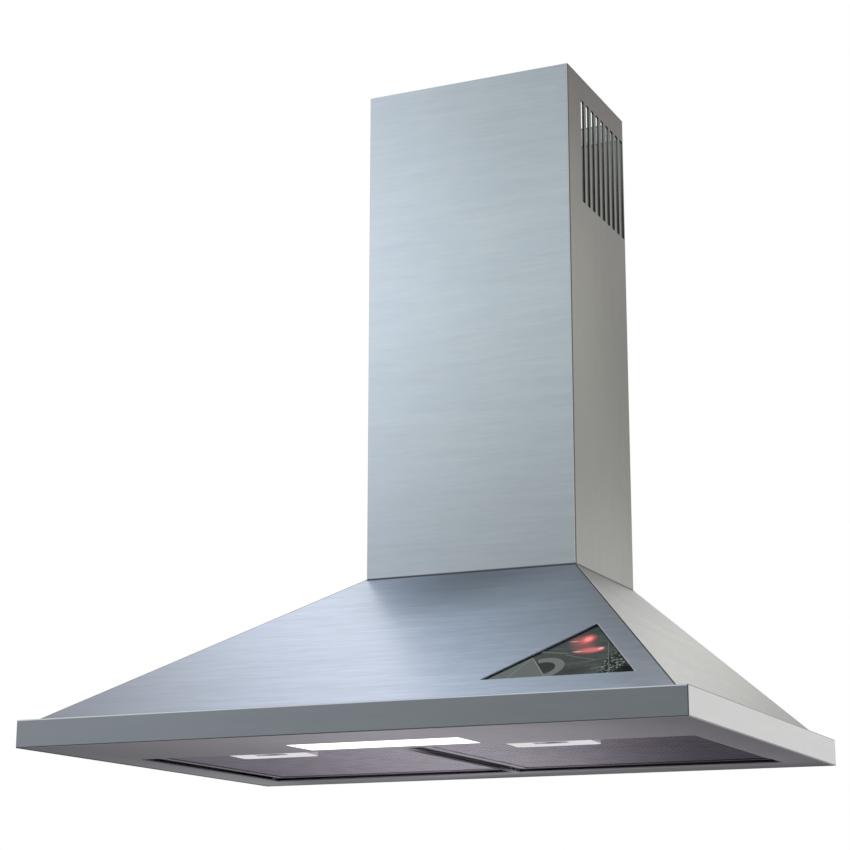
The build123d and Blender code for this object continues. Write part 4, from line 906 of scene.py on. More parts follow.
@dataclass(frozen=True)
class PanelGlass(Finish):
    """Smoked glass, printed dark behind, with the light bars' glow in it and finger marks in its gloss."""

    name: str
    colour: Tone
    areas: tuple[Area, ...]
    lights: tuple[Area, ...]

    def write(self, paint: Paint) -> bpy.types.Material:
        """Write the finish's nodes.

        Args:
            paint: the empty material.

        Returns:
            The finished material.
        """
        smear = paint.noise(paint.vector("MULTIPLY", paint.place(), (60.0, 200.0, 200.0)), 1.0, 4.0, 0.65)
        lighter = tuple(1.7 * value for value in self.colour)
        colour: Feed = paint.blend((smear - 0.42) * 3.0, self.colour, lighter)
        light: Feed = (0.0, 0.0, 0.0)
        for area in self.areas:
            colour = area.lay(paint, colour)
        for area in self.lights:
            light = area.lay(paint, light)
        dust = paint.noise(paint.place(), 900.0, 2.0).step(0.62, 0.75)
        rough = 0.06 + smear.step(0.45, 0.75) * 0.12 + dust * 0.12
        feeds = {"Base Color": colour, "Roughness": rough, "Specular IOR Level": 0.02}
        feeds.update({"Emission Color": light, "Emission Strength": 1.0})
        feeds["Normal"] = paint.bump(smear, 8e-6)
        return paint.finish(feeds)


@dataclass(frozen=True)
class SolderMask(Finish):
    """Dark circuit board with tracks and pads."""

    name: str
    mask: Tone
    track: Tone

    def write(self, paint: Paint) -> bpy.types.Material:
        """Write the finish's nodes.

        Args:
            paint: the empty material.

        Returns:
            The finished material.
        """
        x, y, _ = paint.axes(paint.place())
        run = paint.noise(paint.vector("MULTIPLY", paint.place(), (60.0, 160.0, 0.0)), 1.0, 0.0)
        stripe = abs((x / (2.2 * MM) + run * 6.0).fraction() - 0.5).step(0.10, 0.16, 1.0, 0.0)
        grid_x, grid_y = ((axis / (5.1 * MM)).fraction() - 0.5 for axis in (x, y))
        pads = (abs(grid_x).highest(abs(grid_y))).step(0.10, 0.14, 1.0, 0.0)
        colour = paint.blend(stripe * 0.6, self.mask, self.track)
        colour = paint.blend(pads, colour, (0.55, 0.56, 0.52))
        feeds = {"Base Color": colour, "Metallic": pads * 0.9, "Roughness": 0.42 - pads * 0.15}
        feeds["Normal"] = paint.bump(stripe.highest(pads), 0.05 * MM)
        return paint.finish(feeds)


@dataclass(frozen=True)
class Printed(Finish):
    """A ceramic print on glass, a little worn."""

    name: str
    colour: Tone

    def write(self, paint: Paint) -> bpy.types.Material:
        """Write the finish's nodes.

        Args:
            paint: the empty material.

        Returns:
            The finished material.
        """
        grain = paint.noise(paint.place(), 1300.0, 3.0)
        darker = tuple(0.6 * value for value in self.colour)
        colour = paint.blend((grain - 0.3) * 1.1, self.colour, darker)
        feeds = {"Base Color": colour, "Roughness": 0.35 + grain * 0.2, "Specular IOR Level": 0.2}
        feeds["Normal"] = paint.bump(grain, 15e-6)
        return paint.finish(feeds)


# ---------------------------------------------------------------- making pieces
class SubAssembly:
    """What every group of pieces shares: it dresses CAD nodes and adds pieces of its own."""

    body: str = "hood"

    @staticmethod
    def dress(finish: Finish, *nodes: str) -> None:
        """Give CAD nodes a finish.

        Args:
            finish: the finish.
            nodes: the nodes' names.
        """
        material = finish.material()
        for name in nodes:
            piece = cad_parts[name]
            if not piece.material_slots:
                piece.data.materials.append(material)
            for slot in piece.material_slots:
                slot.material = material
        LOG.info("%s: %s", finish.name, ", ".join(nodes))

    @staticmethod
    def add(name: str, mesh: bmesh.types.BMesh, finish: Finish, slot: str, body: str) -> bpy.types.Object:
        """Turn a built mesh into a piece that rides on a body.

        Args:
            name: the piece's name.
            mesh: its mesh, in the hood's frame.
            finish: its finish.
            slot: the record's material slot that it belongs to; not used.
            body: the CAD body that it moves with.

        Returns:
            The piece.
        """
        data = bpy.data.meshes.new(name)
        mesh.to_mesh(data)
        mesh.free()
        piece = bpy.data.objects.new(name, data)
        bpy.context.scene.collection.objects.link(piece)
        data.materials.append(finish.material())
        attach(piece, body)
        LOG.info("%s: %d faces on %s", name, len(data.polygons), body)
        return piece


@dataclass
class Slope:
    """The front panel's sloping face, as a place to lay things out: U to the right, V up the slope."""

    middle_x: float = 178.28 * MM
    foot_y: float = -439 * MM
    foot_z: float = 24 * MM
    run: float = 275 * MM
    rise: float = 154 * MM
    middle_up: float = 73.72 * MM

    def matrix(self) -> Matrix:
        """From the slope's U, V and outward height to the hood's frame.

        Returns:
            The matrix, in metres.
        """
        length = math.hypot(self.run, self.rise)
        up = Vector((0, self.run / length, self.rise / length))
        out = Vector((0, -self.rise / length, self.run / length))
        origin = Vector((self.middle_x, self.foot_y, self.foot_z)) + up * self.middle_up
        turned = Matrix((Vector((1, 0, 0)), up, out)).transposed().to_4x4()
        return Matrix.Translation(origin) @ turned

    def at(self, u: float, v: float, height: float = 0.0) -> Point:
        """A place on the slope in the hood's frame, from its U, V and height in millimetres."""
        return tuple(self.matrix() @ Vector((u * MM, v * MM, height * MM)))


class Draughting:
    """Flat shapes with a little thickness, drawn on the slope."""

    RING_STEP: ClassVar[float] = 8.0  # degrees of a ring to each of its straight pieces

    def __init__(self, matrix: Matrix, level: float, thickness: float) -> None:
        """Set the drawing plane.

        Args:
            matrix: from the plane to the hood's frame.
            level: height of the shapes' top over the plane.
            thickness: how thick the print is.
        """
        self.matrix = matrix
        self.level = level
        self.thickness = thickness
        self.mesh = bmesh.new()

    def _corner(self, x: float, y: float, z: float) -> bmesh.types.BMVert:
        """A corner of the print at a place on the plane."""
        return self.mesh.verts.new(self.matrix @ Vector((x, y, z)))

    def outline(self, points: Sequence[tuple[float, float]]) -> None:
        """A filled convex outline.

        Args:
            points: its corners, anticlockwise.
        """
        top = [self._corner(x, y, self.level) for x, y in points]
        low = [self._corner(x, y, self.level - self.thickness) for x, y in points]
        self.mesh.faces.new(top)
        self.mesh.faces.new(low[::-1])
        for number in range(len(points)):
            after = (number + 1) % len(points)
            self.mesh.faces.new((top[number], low[number], low[after], top[after]))

    def bar(self, start: tuple[float, float], end: tuple[float, float], width: float) -> None:
        """A straight stroke.

        Args:
            start: one end.
            end: the other end.
            width: the stroke's width.
        """
        along = Vector(end) - Vector(start)
        side = Vector((-along.y, along.x)).normalized() * width / 2
        corners = (Vector(start) - side, Vector(end) - side, Vector(end) + side, Vector(start) + side)
        self.outline([tuple(corner) for corner in corners])

    def ring(
        self, middle: tuple[float, float], radius: float, width: float, start: float, turn: float, tall: float
    ) -> None:
        """Part of a ring.

        Args:
            middle: its middle.
            radius: to the stroke's middle, along U.
            width: the stroke's width.
            start: where it starts, in degrees from U.
            turn: how far it runs, in degrees.
            tall: its height against its width.
        """
        steps = int(turn / self.RING_STEP)
        rows = []
        for number in range(steps + 1):
            angle = math.radians(start + turn * number / steps)
            ray = (math.cos(angle), math.sin(angle) * tall)
            inner, outer = radius - width / 2, radius + width / 2
            places = [(inner, self.level), (outer, self.level)]
            places += [(outer, self.level - self.thickness), (inner, self.level - self.thickness)]
            rows.append([
                self._corner(middle[0] + ray[0] * reach, middle[1] + ray[1] * reach, height)
                for reach, height in places
            ])
        for number in range(steps):
            here, after = rows[number], rows[number + 1]
            for side in range(4):
                other = (side + 1) % 4
                self.mesh.faces.new((here[side], here[other], after[other], after[side]))


# ---------------------------------------------------------------- canopy
@dataclass
class Canopy(SubAssembly):
    """The pyramid, its rim and the sheet underneath."""

    half_width: float = 300 * MM
    depth: float = 450 * MM
    rim_height: float = 24 * MM
    chimney_foot: float = 178 * MM
    hip_lean: float = 181 / 275
    hip_level: float = -0.86 * MM
    centre_bar: float = 3.5 * MM
    filter_middle: float = -178 * MM
    foot_half: float = 288 * MM
    foot_front: float = -439 * MM
    chimney_half: float = 107 * MM
    chimney_depth: float = 164 * MM

    def foot_corner(self, side: int) -> Point:
        """The front corner of the slopes' foot, right for 1 and left for -1."""
        return side * self.foot_half, self.foot_front, self.rim_height

    def chimney_corner(self, side: int) -> Point:
        """The front corner of the chimney's foot, right for 1 and left for -1."""
        return side * self.chimney_half, -self.chimney_depth, self.chimney_foot

    def foot_gap_shadow(self) -> EdgeLine:
        """A painted shadow in the gap where the chimney stands on the slopes."""
        return EdgeLine((0, 0, 1), self.chimney_foot - 1.7 * MM, self.chimney_foot + 1 * MM, tone(80, 84, 88))

    def front_steel(self) -> BrushedSteel:
        """The front slope, in painted reflection and shade: dull at its left foot, pale and bluish in the
        middle, greyer to the right, with painted shade under the chimney and along the hip seams.

        Returns:
            The finish.
        """
        # Painted reflection of a soft light across the slope.
        band = Wash(self.foot_corner(-1), self.chimney_corner(1), (
            (0.0, tone(115, 120, 130)), (0.2, tone(145, 155, 170)), (0.45, tone(205, 215, 235)),
            (0.7, tone(205, 215, 230)), (1.0, tone(145, 150, 160)),
        ))
        # Painted shade under the chimney.
        under_chimney_shade = Patch(
            (0.0, -0.175, 0.172), (0.12, 0.17, 0.10), tone(176, 178, 182), 0.9, 0.05, way=Blend.SHADE,
        )
        # Painted shade along the hip seams.
        hip_shade_lines = [
            EdgeLine((side, self.hip_lean, 0), self.hip_level - 1.5 * MM, 1 * MM, tone(72, 76, 82))
            for side in (-1, 1)
        ]
        areas = (band, under_chimney_shade, *hip_shade_lines, self.foot_gap_shadow())
        return BrushedSteel(
            "front_slope_steel", tone(190, 200, 214), areas=areas, roughness=0.34, streaks=0.13,
        )

    def side_steel(self, side: int) -> BrushedSteel:
        """A side slope, in painted reflection: pale along the middle, dull beside the chimney and at the low
        back corner, with a painted highlight along the hip.

        Args:
            side: 1 for the right-hand slope, -1 for the left.

        Returns:
            The finish.
        """
        beside_chimney = (side * self.foot_half, -self.chimney_depth / 2, self.rim_height)
        # Painted reflection of a soft light along the slope.
        band = Wash(beside_chimney, self.chimney_corner(side), (
            (0.0, tone(165, 165, 160)), (0.4, tone(235, 235, 230)), (0.7, tone(220, 220, 215)),
            (1.0, tone(120, 120, 120)),
        ))
        # Painted highlight along the hip.
        hip = EdgeLine((side, self.hip_lean, 0), self.hip_level, 0.7 * MM, tone(224, 224, 222))
        word = "right" if side > 0 else "left"
        return BrushedSteel(
            f"{word}_slope_steel", tone(200, 199, 197), Grain.FRONT_TO_BACK,
            areas=(band, hip, self.foot_gap_shadow()), roughness=0.38, streaks=0.07,
            dash=(16 * MM, 2.6 * MM), hair=(5 * MM, 1.2 * MM), edge=0.6,
        )

    def rim_steel(self) -> BrushedSteel:
        """The rim, in painted light and shade: painted shade at the front, painted light at the sides, a
        painted highlight on the top fold and painted shadow along the lower edges.

        Returns:
            The finish.
        """
        top, ahead, right, left = self.rim_height, (0.0, -1.0, 0.0), (1.0, 0.0, 0.0), (-1.0, 0.0, 0.0)
        # Painted shade: the front darker than the sides, and darker to the right.
        front = Wash((-self.half_width, 0, 0), (self.half_width, 0, 0), (
            (0.0, tone(128, 134, 139)), (0.35, tone(124, 131, 136)), (1.0, tone(107, 111, 114)),
        ), looks=ahead)
        # Painted light: the sides lighter than the front, the right side most.
        sides = [
            Wash((0, -self.depth, 0), (0, 0, 0), ((0.0, pale), (1.0, pale)), looks=looks)
            for looks, pale in ((right, tone(206, 207, 205)), (left, tone(176, 180, 184)))
        ]
        # Painted highlight on the front's top fold; painted shadow along the front's lower edge and right
        # end, and along the right side's top and lower edges.
        lines = [
            EdgeLine((0, 0, 1), top - 1.1 * MM, top + 1 * MM, tone(186, 194, 199), looks=ahead),
            EdgeLine((0, 0, 1), -1 * MM, 0.8 * MM, tone(66, 68, 72), looks=ahead),
            EdgeLine((1, 0, 0), self.half_width - 1.3 * MM, 1.0, tone(78, 81, 83), looks=ahead),
            EdgeLine((0, 0, 1), top - 0.8 * MM, top + 1 * MM, tone(112, 112, 110), looks=right),
            EdgeLine((0, 0, 1), -1 * MM, 0.8 * MM, tone(120, 120, 120), looks=right),
        ]
        return BrushedSteel(
            "rim_steel", tone(150, 154, 157), side_grain=Grain.FRONT_TO_BACK, areas=(front, *sides, *lines),
            roughness=0.40, streaks=0.04,
        )

    def underside_steel(self) -> BrushedSteel:
        """The sheet underneath: duller, with a purple cast, and painted light that is lightest by the lamp, a
        painted reflection at the back left and painted shade at the back right and between the filters.

        Returns:
            The finish.
        """
        half = self.half_width
        # Painted lamp light across the sheet, lightest in the middle by the lamp.
        across = Wash((-half, 0, 0), (half, 0, 0), (
            (0.0, tone(100, 100, 105)), (0.3, tone(150, 145, 155)), (0.55, tone(205, 200, 210)),
            (0.8, tone(170, 165, 175)), (1.0, tone(100, 95, 105)),
        ))
        # Painted reflection at the back left, painted shade at the back right, painted shadow in the gap
        # between the filters.
        back_left_reflection = Patch((-0.30, 0.0, 0.0), (0.08, 0.45, 0.05), tone(172, 170, 177), 0.95)
        back_right_shade = Patch((0.12, 0.0, 0.0), (0.30, 0.06, 0.05), tone(92, 91, 95), 0.8, 0.5)
        between_filters_shadow = Patch(
            (0.0, self.filter_middle, 0.0), (2 * self.centre_bar, 0.14, 0.01), tone(48, 46, 50), 1.0, 0.7,
        )
        return BrushedSteel(
            "underside_steel", tone(128, 123, 130), areas=(across, back_left_reflection, back_right_shade, between_filters_shadow),
            roughness=0.42, streaks=0.10, edge=0.5,
        )

    def build(self) -> None:
        """Dress the canopy's sheets."""
        self.dress(self.front_steel(), "canopy_front_panel")
        self.dress(self.side_steel(1), "canopy_right_panel")
        self.dress(self.side_steel(-1), "canopy_left_panel")
        self.dress(self.rim_steel(), "rim_band")
        self.dress(self.underside_steel(), "underside_panel")
        plain = Galvanised("zinc_coated_sheet", tone(176, 180, 182))
        self.dress(plain, "canopy_back_panel", "canopy_top_plate")
        self.dress(plain, "filter_hinge_brackets", "filter_front_rails")


# ---------------------------------------------------------------- chimney
@dataclass
class Chimney(SubAssembly):
    """Two telescoping covers, the bracket inside and its screws."""

    half_width: float = 107 * MM
    depth: float = 164 * MM
    foot: float = 178 * MM
    top: float = 674 * MM
    upper_inset: float = 1.3 * MM

    def steel(self, name: str, inset: float) -> BrushedSteel:
        """A cover's steel, in painted reflection and shade: bluish at the front's left, greyer to the right,
        brownish on the right side, with a painted highlight on the front's right fold and painted shadow at
        the foot, the top and inside.

        Args:
            name: the finish's name.
            inset: how far the cover's faces lie inside the lower cover's.

        Returns:
            The finish.
        """
        ahead, right, left = (0.0, -1.0, 0.0), (1.0, 0.0, 0.0), (-1.0, 0.0, 0.0)
        half, front = self.half_width - inset, -self.depth + inset
        foot, top = (0.0, 0.0, self.foot), (0.0, 0.0, self.top)
        areas = (
            # Painted reflection across the front: bluish at the left, greyer to the right.
            Wash((-self.half_width, 0, 0), (self.half_width, 0, 0), (
                (0.0, tone(190, 200, 210)), (0.5, tone(175, 185, 190)), (1.0, tone(165, 175, 180)),
            ), looks=ahead),
            # Painted shade: the front darker at its foot and its top.
            Wash(foot, top, (
                (0.0, tone(215, 215, 215)), (0.4, tone(255, 255, 255)), (0.7, tone(255, 255, 255)),
                (1.0, tone(230, 230, 230)),
            ), looks=ahead, way=Blend.SHADE),
            # Painted light and shade up the right side, with painted shade towards the wall.
            Wash(foot, top, (
                (0.0, tone(155, 155, 150)), (0.2, tone(120, 120, 115)), (0.5, tone(145, 145, 135)),
                (0.8, tone(115, 110, 105)), (1.0, tone(80, 75, 70)),
            ), looks=right),
            Patch(
                (self.half_width, 0.0, 0.42), (0.1, 0.17, 0.22), tone(205, 205, 205), looks=right,
                way=Blend.SHADE,
            ),
            # Painted light up the left side.
            Wash(foot, top, (
                (0.0, tone(150, 154, 158)), (0.5, tone(182, 188, 194)), (1.0, tone(160, 165, 170)),
            ), looks=left),
            # Painted highlight on the front's right fold; painted shade beside that fold and along the right
            # side's top; painted shadow at the foot.
            EdgeLine((1, 0, 0), half - 0.9 * MM, 1.0, tone(206, 209, 209), looks=ahead),
            EdgeLine((0, 1, 0), -1.0, front + 2.4 * MM, tone(84, 81, 77), looks=right),
            EdgeLine((0, 0, 1), self.top - 1.2 * MM, 1.0, tone(62, 60, 56), looks=right),
            EdgeLine((0, 0, 1), self.foot - 1 * MM, self.foot + 0.8 * MM, tone(92, 95, 98)),
            # Painted shade inside the cover and on the vents' cut edges.
            CoverInsideShade(half, front, tone(112, 118, 114)),
        )
        return BrushedSteel(
            name, tone(182, 190, 196), side_grain=Grain.UPRIGHT, areas=areas, roughness=0.37, streaks=0.06,
        )

    def build(self) -> None:
        """Dress the chimney."""
        self.dress(self.steel("lower_cover_steel", 0.0), "chimney_lower_cover")
        self.dress(self.steel("upper_cover_steel", self.upper_inset), "chimney_upper_cover")
        self.dress(Galvanised("bracket_zinc", tone(170, 174, 176)), "chimney_bracket")
        self.dress(Plated("bracket_screw_zinc", tone(196, 197, 196)), "chimney_bracket_screws")


# ---------------------------------------------------------------- filters
class Side(Enum):
    """Which of a pair of pieces."""

    LEFT = -1
    RIGHT = 1

    @property
    def word(self) -> str:
        """The side as a word in a piece's name."""
        return self.name.lower()


@dataclass
class GreaseFilter(SubAssembly):
    """One grease filter: frame, expanded mesh, inner layers, handle and sprung latch."""

    side: Side
    inner_edge: float = 6.7 * MM
    outer_edge: float = 258.8 * MM
    front: float = -307.8 * MM
    rear: float = -49.2 * MM
    mesh_base: float = 4.35 * MM
    mesh_top: float = 5.05 * MM
    cell_width: float = 5.2 * MM
    cell_depth: float = 2.9 * MM
    strand: float = 0.95 * MM
    pocket_middle: float = 132.75 * MM
    pocket_half: float = 26.2 * MM
    pocket_rear: float = -280.6 * MM
    recess_y: float = -300.8 * MM

    def _bond(self, column: float, row: int) -> tuple[float, float]:
        """Where two strands of the mesh meet.

        Args:
            column: number along X, in cells.
            row: number along Y, in half cells.

        Returns:
            The place, on the right-hand filter.
        """
        x = self.inner_edge + column * self.cell_width
        drift = 0.22 * self.cell_depth * math.sin(x * 95.0 + row * 0.045)
        return x, self.front + (row + 1) * self.cell_depth / 2 + drift

    def _in_pocket(self, x: float, y: float) -> bool:
        """Whether a place lies where the latch pocket is."""
        return abs(x - self.pocket_middle) < self.pocket_half and y < self.pocket_rear

    def expanded_mesh(self) -> bmesh.types.BMesh:
        """Slanted strands between bonds that are staggered from row to row.

        Returns:
            The mesh in the hood's frame.
        """
        mesh = bmesh.new()
        sign = self.side.value
        columns = int((self.outer_edge - self.inner_edge) / self.cell_width)
        rows = int((self.rear - self.front) / (self.cell_depth / 2)) - 2
        mid = (self.mesh_base + self.mesh_top) / 2
        half_thick = (self.mesh_top - self.mesh_base) / 2
        for row in range(rows):
            shift = 0.5 * (row % 2)
            for number in range(columns):
                for lean in (-0.5, 0.5):
                    start = self._bond(number + shift, row)
                    end = self._bond(number + shift + lean, row + 1)
                    if not self.inner_edge <= end[0] <= self.outer_edge or self._in_pocket(*start):
                        continue
                    if self._in_pocket(*end):
                        continue
                    self._strand(mesh, start, end, sign, mid, half_thick)
        return mesh

    def _strand(
        self, mesh: bmesh.types.BMesh, start: tuple[float, float], end: tuple[float, float],
        sign: int, mid: float, half_thick: float,
    ) -> None:
        """One strand: a ribbon with its front edge high and its rear edge low.

        Args:
            mesh: the mesh being built.
            start: its first bond.
            end: its second bond.
            sign: 1 for the right-hand filter, -1 for its mirror image.
            mid: height of the ribbon's middle.
            half_thick: half its height.
        """
        half = self.strand / 2
        skin = 0.16 * MM
        rings = []
        for x, y in (start, end):
            section = (
                (y - half, mid + half_thick - skin), (y + half, mid - half_thick),
                (y + half, mid - half_thick + skin), (y - half, mid + half_thick),
            )
            rings.append([mesh.verts.new((sign * x, across, height)) for across, height in section])
        for number in range(4):
            after = (number + 1) % 4
            corners = (rings[0][number], rings[1][number], rings[1][after], rings[0][after])
            mesh.faces.new(corners if sign > 0 else corners[::-1])

    @staticmethod
    def glow(gain: float) -> Wash:
        """Painted lamp light: how the lamp's light dies away over the pair of filters, to the left and faster
        to the right.

        Args:
            gain: brightness against the outer mesh.

        Returns:
            The wash.
        """
        shades = ((0.0, 100), (0.25, 130), (0.5, 180), (0.7, 135), (0.85, 75), (1.0, 60))
        stops = tuple(
            (place, tuple(gain * value for value in tone(level + 2, level - 4, level + 6)))
            for place, level in shades
        )
        return Wash((-0.26, -0.278, 0.0), (0.26, -0.122, 0.0), stops)

    def build(self) -> None:
        """Build the expanded mesh and dress the filter."""
        word = self.side.word
        # Painted lamp light on the mesh strands and, below, on the frame.
        strands = ExpandedAluminium("mesh_strands", tone(140, 136, 146), (self.glow(1.5),))
        body = f"{word}_filter"
        piece = self.add(f"expanded_mesh_{word}", self.expanded_mesh(), strands, "filter_mesh", body)
        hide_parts(f"filter_{word}_mesh")
        layers = MeshLayers("inner_mesh_layers", tone(150, 143, 154), tone(60, 56, 66), 6.4 * MM, 3.2 * MM)
        self.dress(layers, f"filter_{word}_core")
        rails = BrushedSteel(
            "filter_frame_aluminium", tone(130, 126, 134), areas=(self.glow(1.0),),
            roughness=0.4, streaks=0.10, depth=8e-6,
        )
        self.dress(rails, f"filter_{word}_frame")
        # Painted shade in the handle's finger recess: dark and not metallic.
        recess_shade = Patch(
            (self.side.value * self.pocket_middle, self.recess_y, self.mesh_base),
            (19 * MM, 7.5 * MM, 7.5 * MM), tone(24, 22, 26), 1.0, 0.6,
        )
        # The handle's near-white tone is bright steel, and partly a painted highlight.
        handle = BrushedSteel(
            f"handle_steel_{word}", tone(254, 251, 255), shade_in_hollow=recess_shade,
            roughness=0.5, streaks=0.01, depth=4e-6,
        )
        self.dress(handle, f"filter_{word}_handle")
        self.dress(Moulded("latch_moulding", tone(26, 24, 28), 0.45, gloss=0.04), f"filter_{word}_latch")
        coil = Striped("latch_spring_wire", tone(205, 205, 205), tone(30, 30, 32), 1, 1.1 * MM)
        self.dress(coil, f"filter_{word}_latch_springs")


# ---------------------------------------------------------------- lamp
@dataclass
class Lamp(SubAssembly):
    """The lamp over the window at the front of the underside."""

    front: float = -374 * MM
    rear: float = -325 * MM
    bulb_height: float = 24.5 * MM

    def build(self) -> None:
        """Dress the lamp."""
        middle_y = (self.front + self.rear) / 2
        over_bulb = Patch((0.0, middle_y, 0.0), (0.12, 0.05, 0.05), (1.0, 0.995, 0.98))
        cover = Glowing(
            "lamp_cover_frosted", tone(245, 245, 243), (0.93, 0.93, 0.95), (over_bulb,), 1.25, 0.45,
        )
        self.dress(cover, "lamp_cover")
        filament = Patch((0.0, middle_y, self.bulb_height), (0.05, 0.03, 0.03), (1.0, 0.93, 0.80))
        bulb = Glowing("bulb_frosted_glass", tone(240, 238, 230), (1.0, 0.86, 0.66), (filament,), 2.2, 0.25)
        self.dress(bulb, "lamp_bulb")
        thread = Striped(
            "bulb_cap_thread", tone(204, 200, 190), tone(110, 104, 92), 0, 3.0 * MM, depth=0.4 * MM,
        )
        self.dress(thread, "lamp_bulb_cap")
        self.dress(Plated("reflector_bright", tone(235, 235, 235), 0.12, Grain.ACROSS), "lamp_reflector")
        self.dress(Moulded("lampholder_glaze", tone(238, 234, 224), 0.18, 6e-6), "lampholder")
        self.dress(Galvanised("lamp_box_zinc", tone(182, 185, 186)), "lamp_housing")


# ---------------------------------------------------------------- control panel
@dataclass
class ControlPanel(SubAssembly):
    """The triangular touch panel in the front slope; places on it are U and V in millimetres."""

    slope: Slope
    glass_front: float = -1.6
    print_thickness: float = 0.05
    ring_middle: tuple[float, float] = (-20.0, -18.0)
    ring_radius: float = 15.8
    ring_stroke: float = 7.4
    ring_tall: float = 1.22
    low_edge: float = -36.6
    window_reach: float = 37.8

    def sheet(self, level: float) -> Draughting:
        """A clean drawing sheet at a level over the slope, in millimetres."""
        return Draughting(self.slope.matrix() @ Matrix.Scale(MM, 4), level, self.print_thickness)

    def power_ring(self) -> bmesh.types.BMesh:
        """The open ring of the on and off key.

        Returns:
            The print's mesh.
        """
        sheet = self.sheet(self.glass_front + 2 * self.print_thickness)
        sheet.ring(self.ring_middle, self.ring_radius, self.ring_stroke, -55.0, 172.0, self.ring_tall)
        return sheet.mesh

    def strokes(self) -> bmesh.types.BMesh:
        """Faint strokes above the ring and to its right.

        Returns:
            The print's mesh.
        """
        sheet = self.sheet(self.glass_front + 2 * self.print_thickness)
        sheet.bar((-6.4, 9.6), (22.2, -3.9), 1.3)
        sheet.bar((13.4, -9.5), (30.0, 0.2), 1.3)
        sheet.bar((-31.0, 20.5), (-6.0, 13.0), 2.2)
        sheet.bar((24.5, -23.3), (35.6, -18.4), 2.0)
        sheet.bar((22.5, 33.0), (42.6, -34.1), 0.8)
        return sheet.mesh

    def corner_field(self) -> bmesh.types.BMesh:
        """A paler printed field in the panel's left corner.

        Returns:
            The print's mesh.
        """
        sheet = self.sheet(self.glass_front + 3 * self.print_thickness)
        sheet.outline([(-61.5, self.low_edge), (-9.5, self.low_edge), (-35.3, 8.8)])
        return sheet.mesh

    def field_lines(self) -> bmesh.types.BMesh:
        """Fine light lines along and across the corner field.

        Returns:
            The print's mesh.
        """
        sheet = self.sheet(self.glass_front + 4 * self.print_thickness)
        sheet.bar((-34.6, 7.2), (-10.2, -36.0), 1.0)
        sheet.bar((-35.6, 6.6), (-43.5, -35.8), 0.8)
        return sheet.mesh

    def cut_edge(self) -> bmesh.types.BMesh:
        """A painted highlight: a bright strip for the light on the cut edge of the window's right side.

        Returns:
            The edge's mesh.
        """
        sheet = self.sheet(self.print_thickness)
        reach = self.window_reach
        away = reach + 0.5
        top, low = Vector((0.0, 2 * away)), Vector((away * math.sqrt(3), -away))
        sheet.bar(tuple(top), tuple(low), 0.9)
        return sheet.mesh

    def glass(self) -> PanelGlass:
        """The glass: a dark middle, specks in the right corner, two red lobes over the light bars and a
        painted shadow along its upper left edge.

        Returns:
            The finish.
        """
        at = self.slope.at

        def spot(u: float, v: float, wide: float, high: float, colour: Tone, core: float = 0.0) -> Patch:
            """A round area on the glass, from its place and reaches in millimetres."""
            reach = (wide * MM, high * MM, high * MM)
            return Patch(at(u, v, self.glass_front), reach, colour, 1.0, core)

        specks = Speckle(
            at(45, -10, self.glass_front), (0.016, 0.044, 0.044), tone(28, 36, 32), 1.0, 0.7,
            tone(166, 178, 168), 2.2 * MM,
        )
        # Painted shadow along the window's upper left edge, where the glass sits below the slope.
        edge = self.slope.matrix().to_3x3() @ Vector((-math.sqrt(0.75), 0.5, 0.0))
        level = edge.dot(Vector(at(0, 0))) + self.window_reach * MM
        window_edge_shadow = EdgeLine(tuple(edge), level - 3.6 * MM, level + 5 * MM, tone(14, 17, 20), 0.6 * MM)
        areas = (
            spot(-19, -15, 15, 15, tone(50, 52, 53), 0.6), spot(8, -26, 26, 14, tone(58, 60, 56)), specks,
            spot(56, -29, 13, 15, tone(18, 21, 20), 0.4), spot(4, 60, 14, 14, tone(58, 70, 64)), window_edge_shadow,
        )
        lights = (
            spot(1, 31, 15, 15, (0.13, 0.020, 0.022), 0.3),
            spot(-2, 42.5, 14, 14, (0.26, 0.030, 0.034), 0.2),
            spot(1.5, 43.5, 8.5, 14, (0.60, 0.085, 0.08), 0.2),
            spot(2, 43.6, 5.0, 8, (1.0, 0.24, 0.20), 0.2),
            spot(10.5, 18.5, 16.5, 11, (0.28, 0.035, 0.045), 0.3),
            spot(12.5, 18.5, 12.5, 7, (0.56, 0.10, 0.11), 0.3),
            spot(19.6, 21, 4, 4.5, (0.9, 0.36, 0.34), 0.1),
            spot(1.5, 16.3, 6.5, 2.6, (0.72, 0.26, 0.26), 0.1),
            spot(-9, 40.0, 6.5, 1.8, (0.52, 0.30, 0.32), 0.1),
        )
        return PanelGlass("smoked_glass", tone(66, 72, 69), areas, lights)

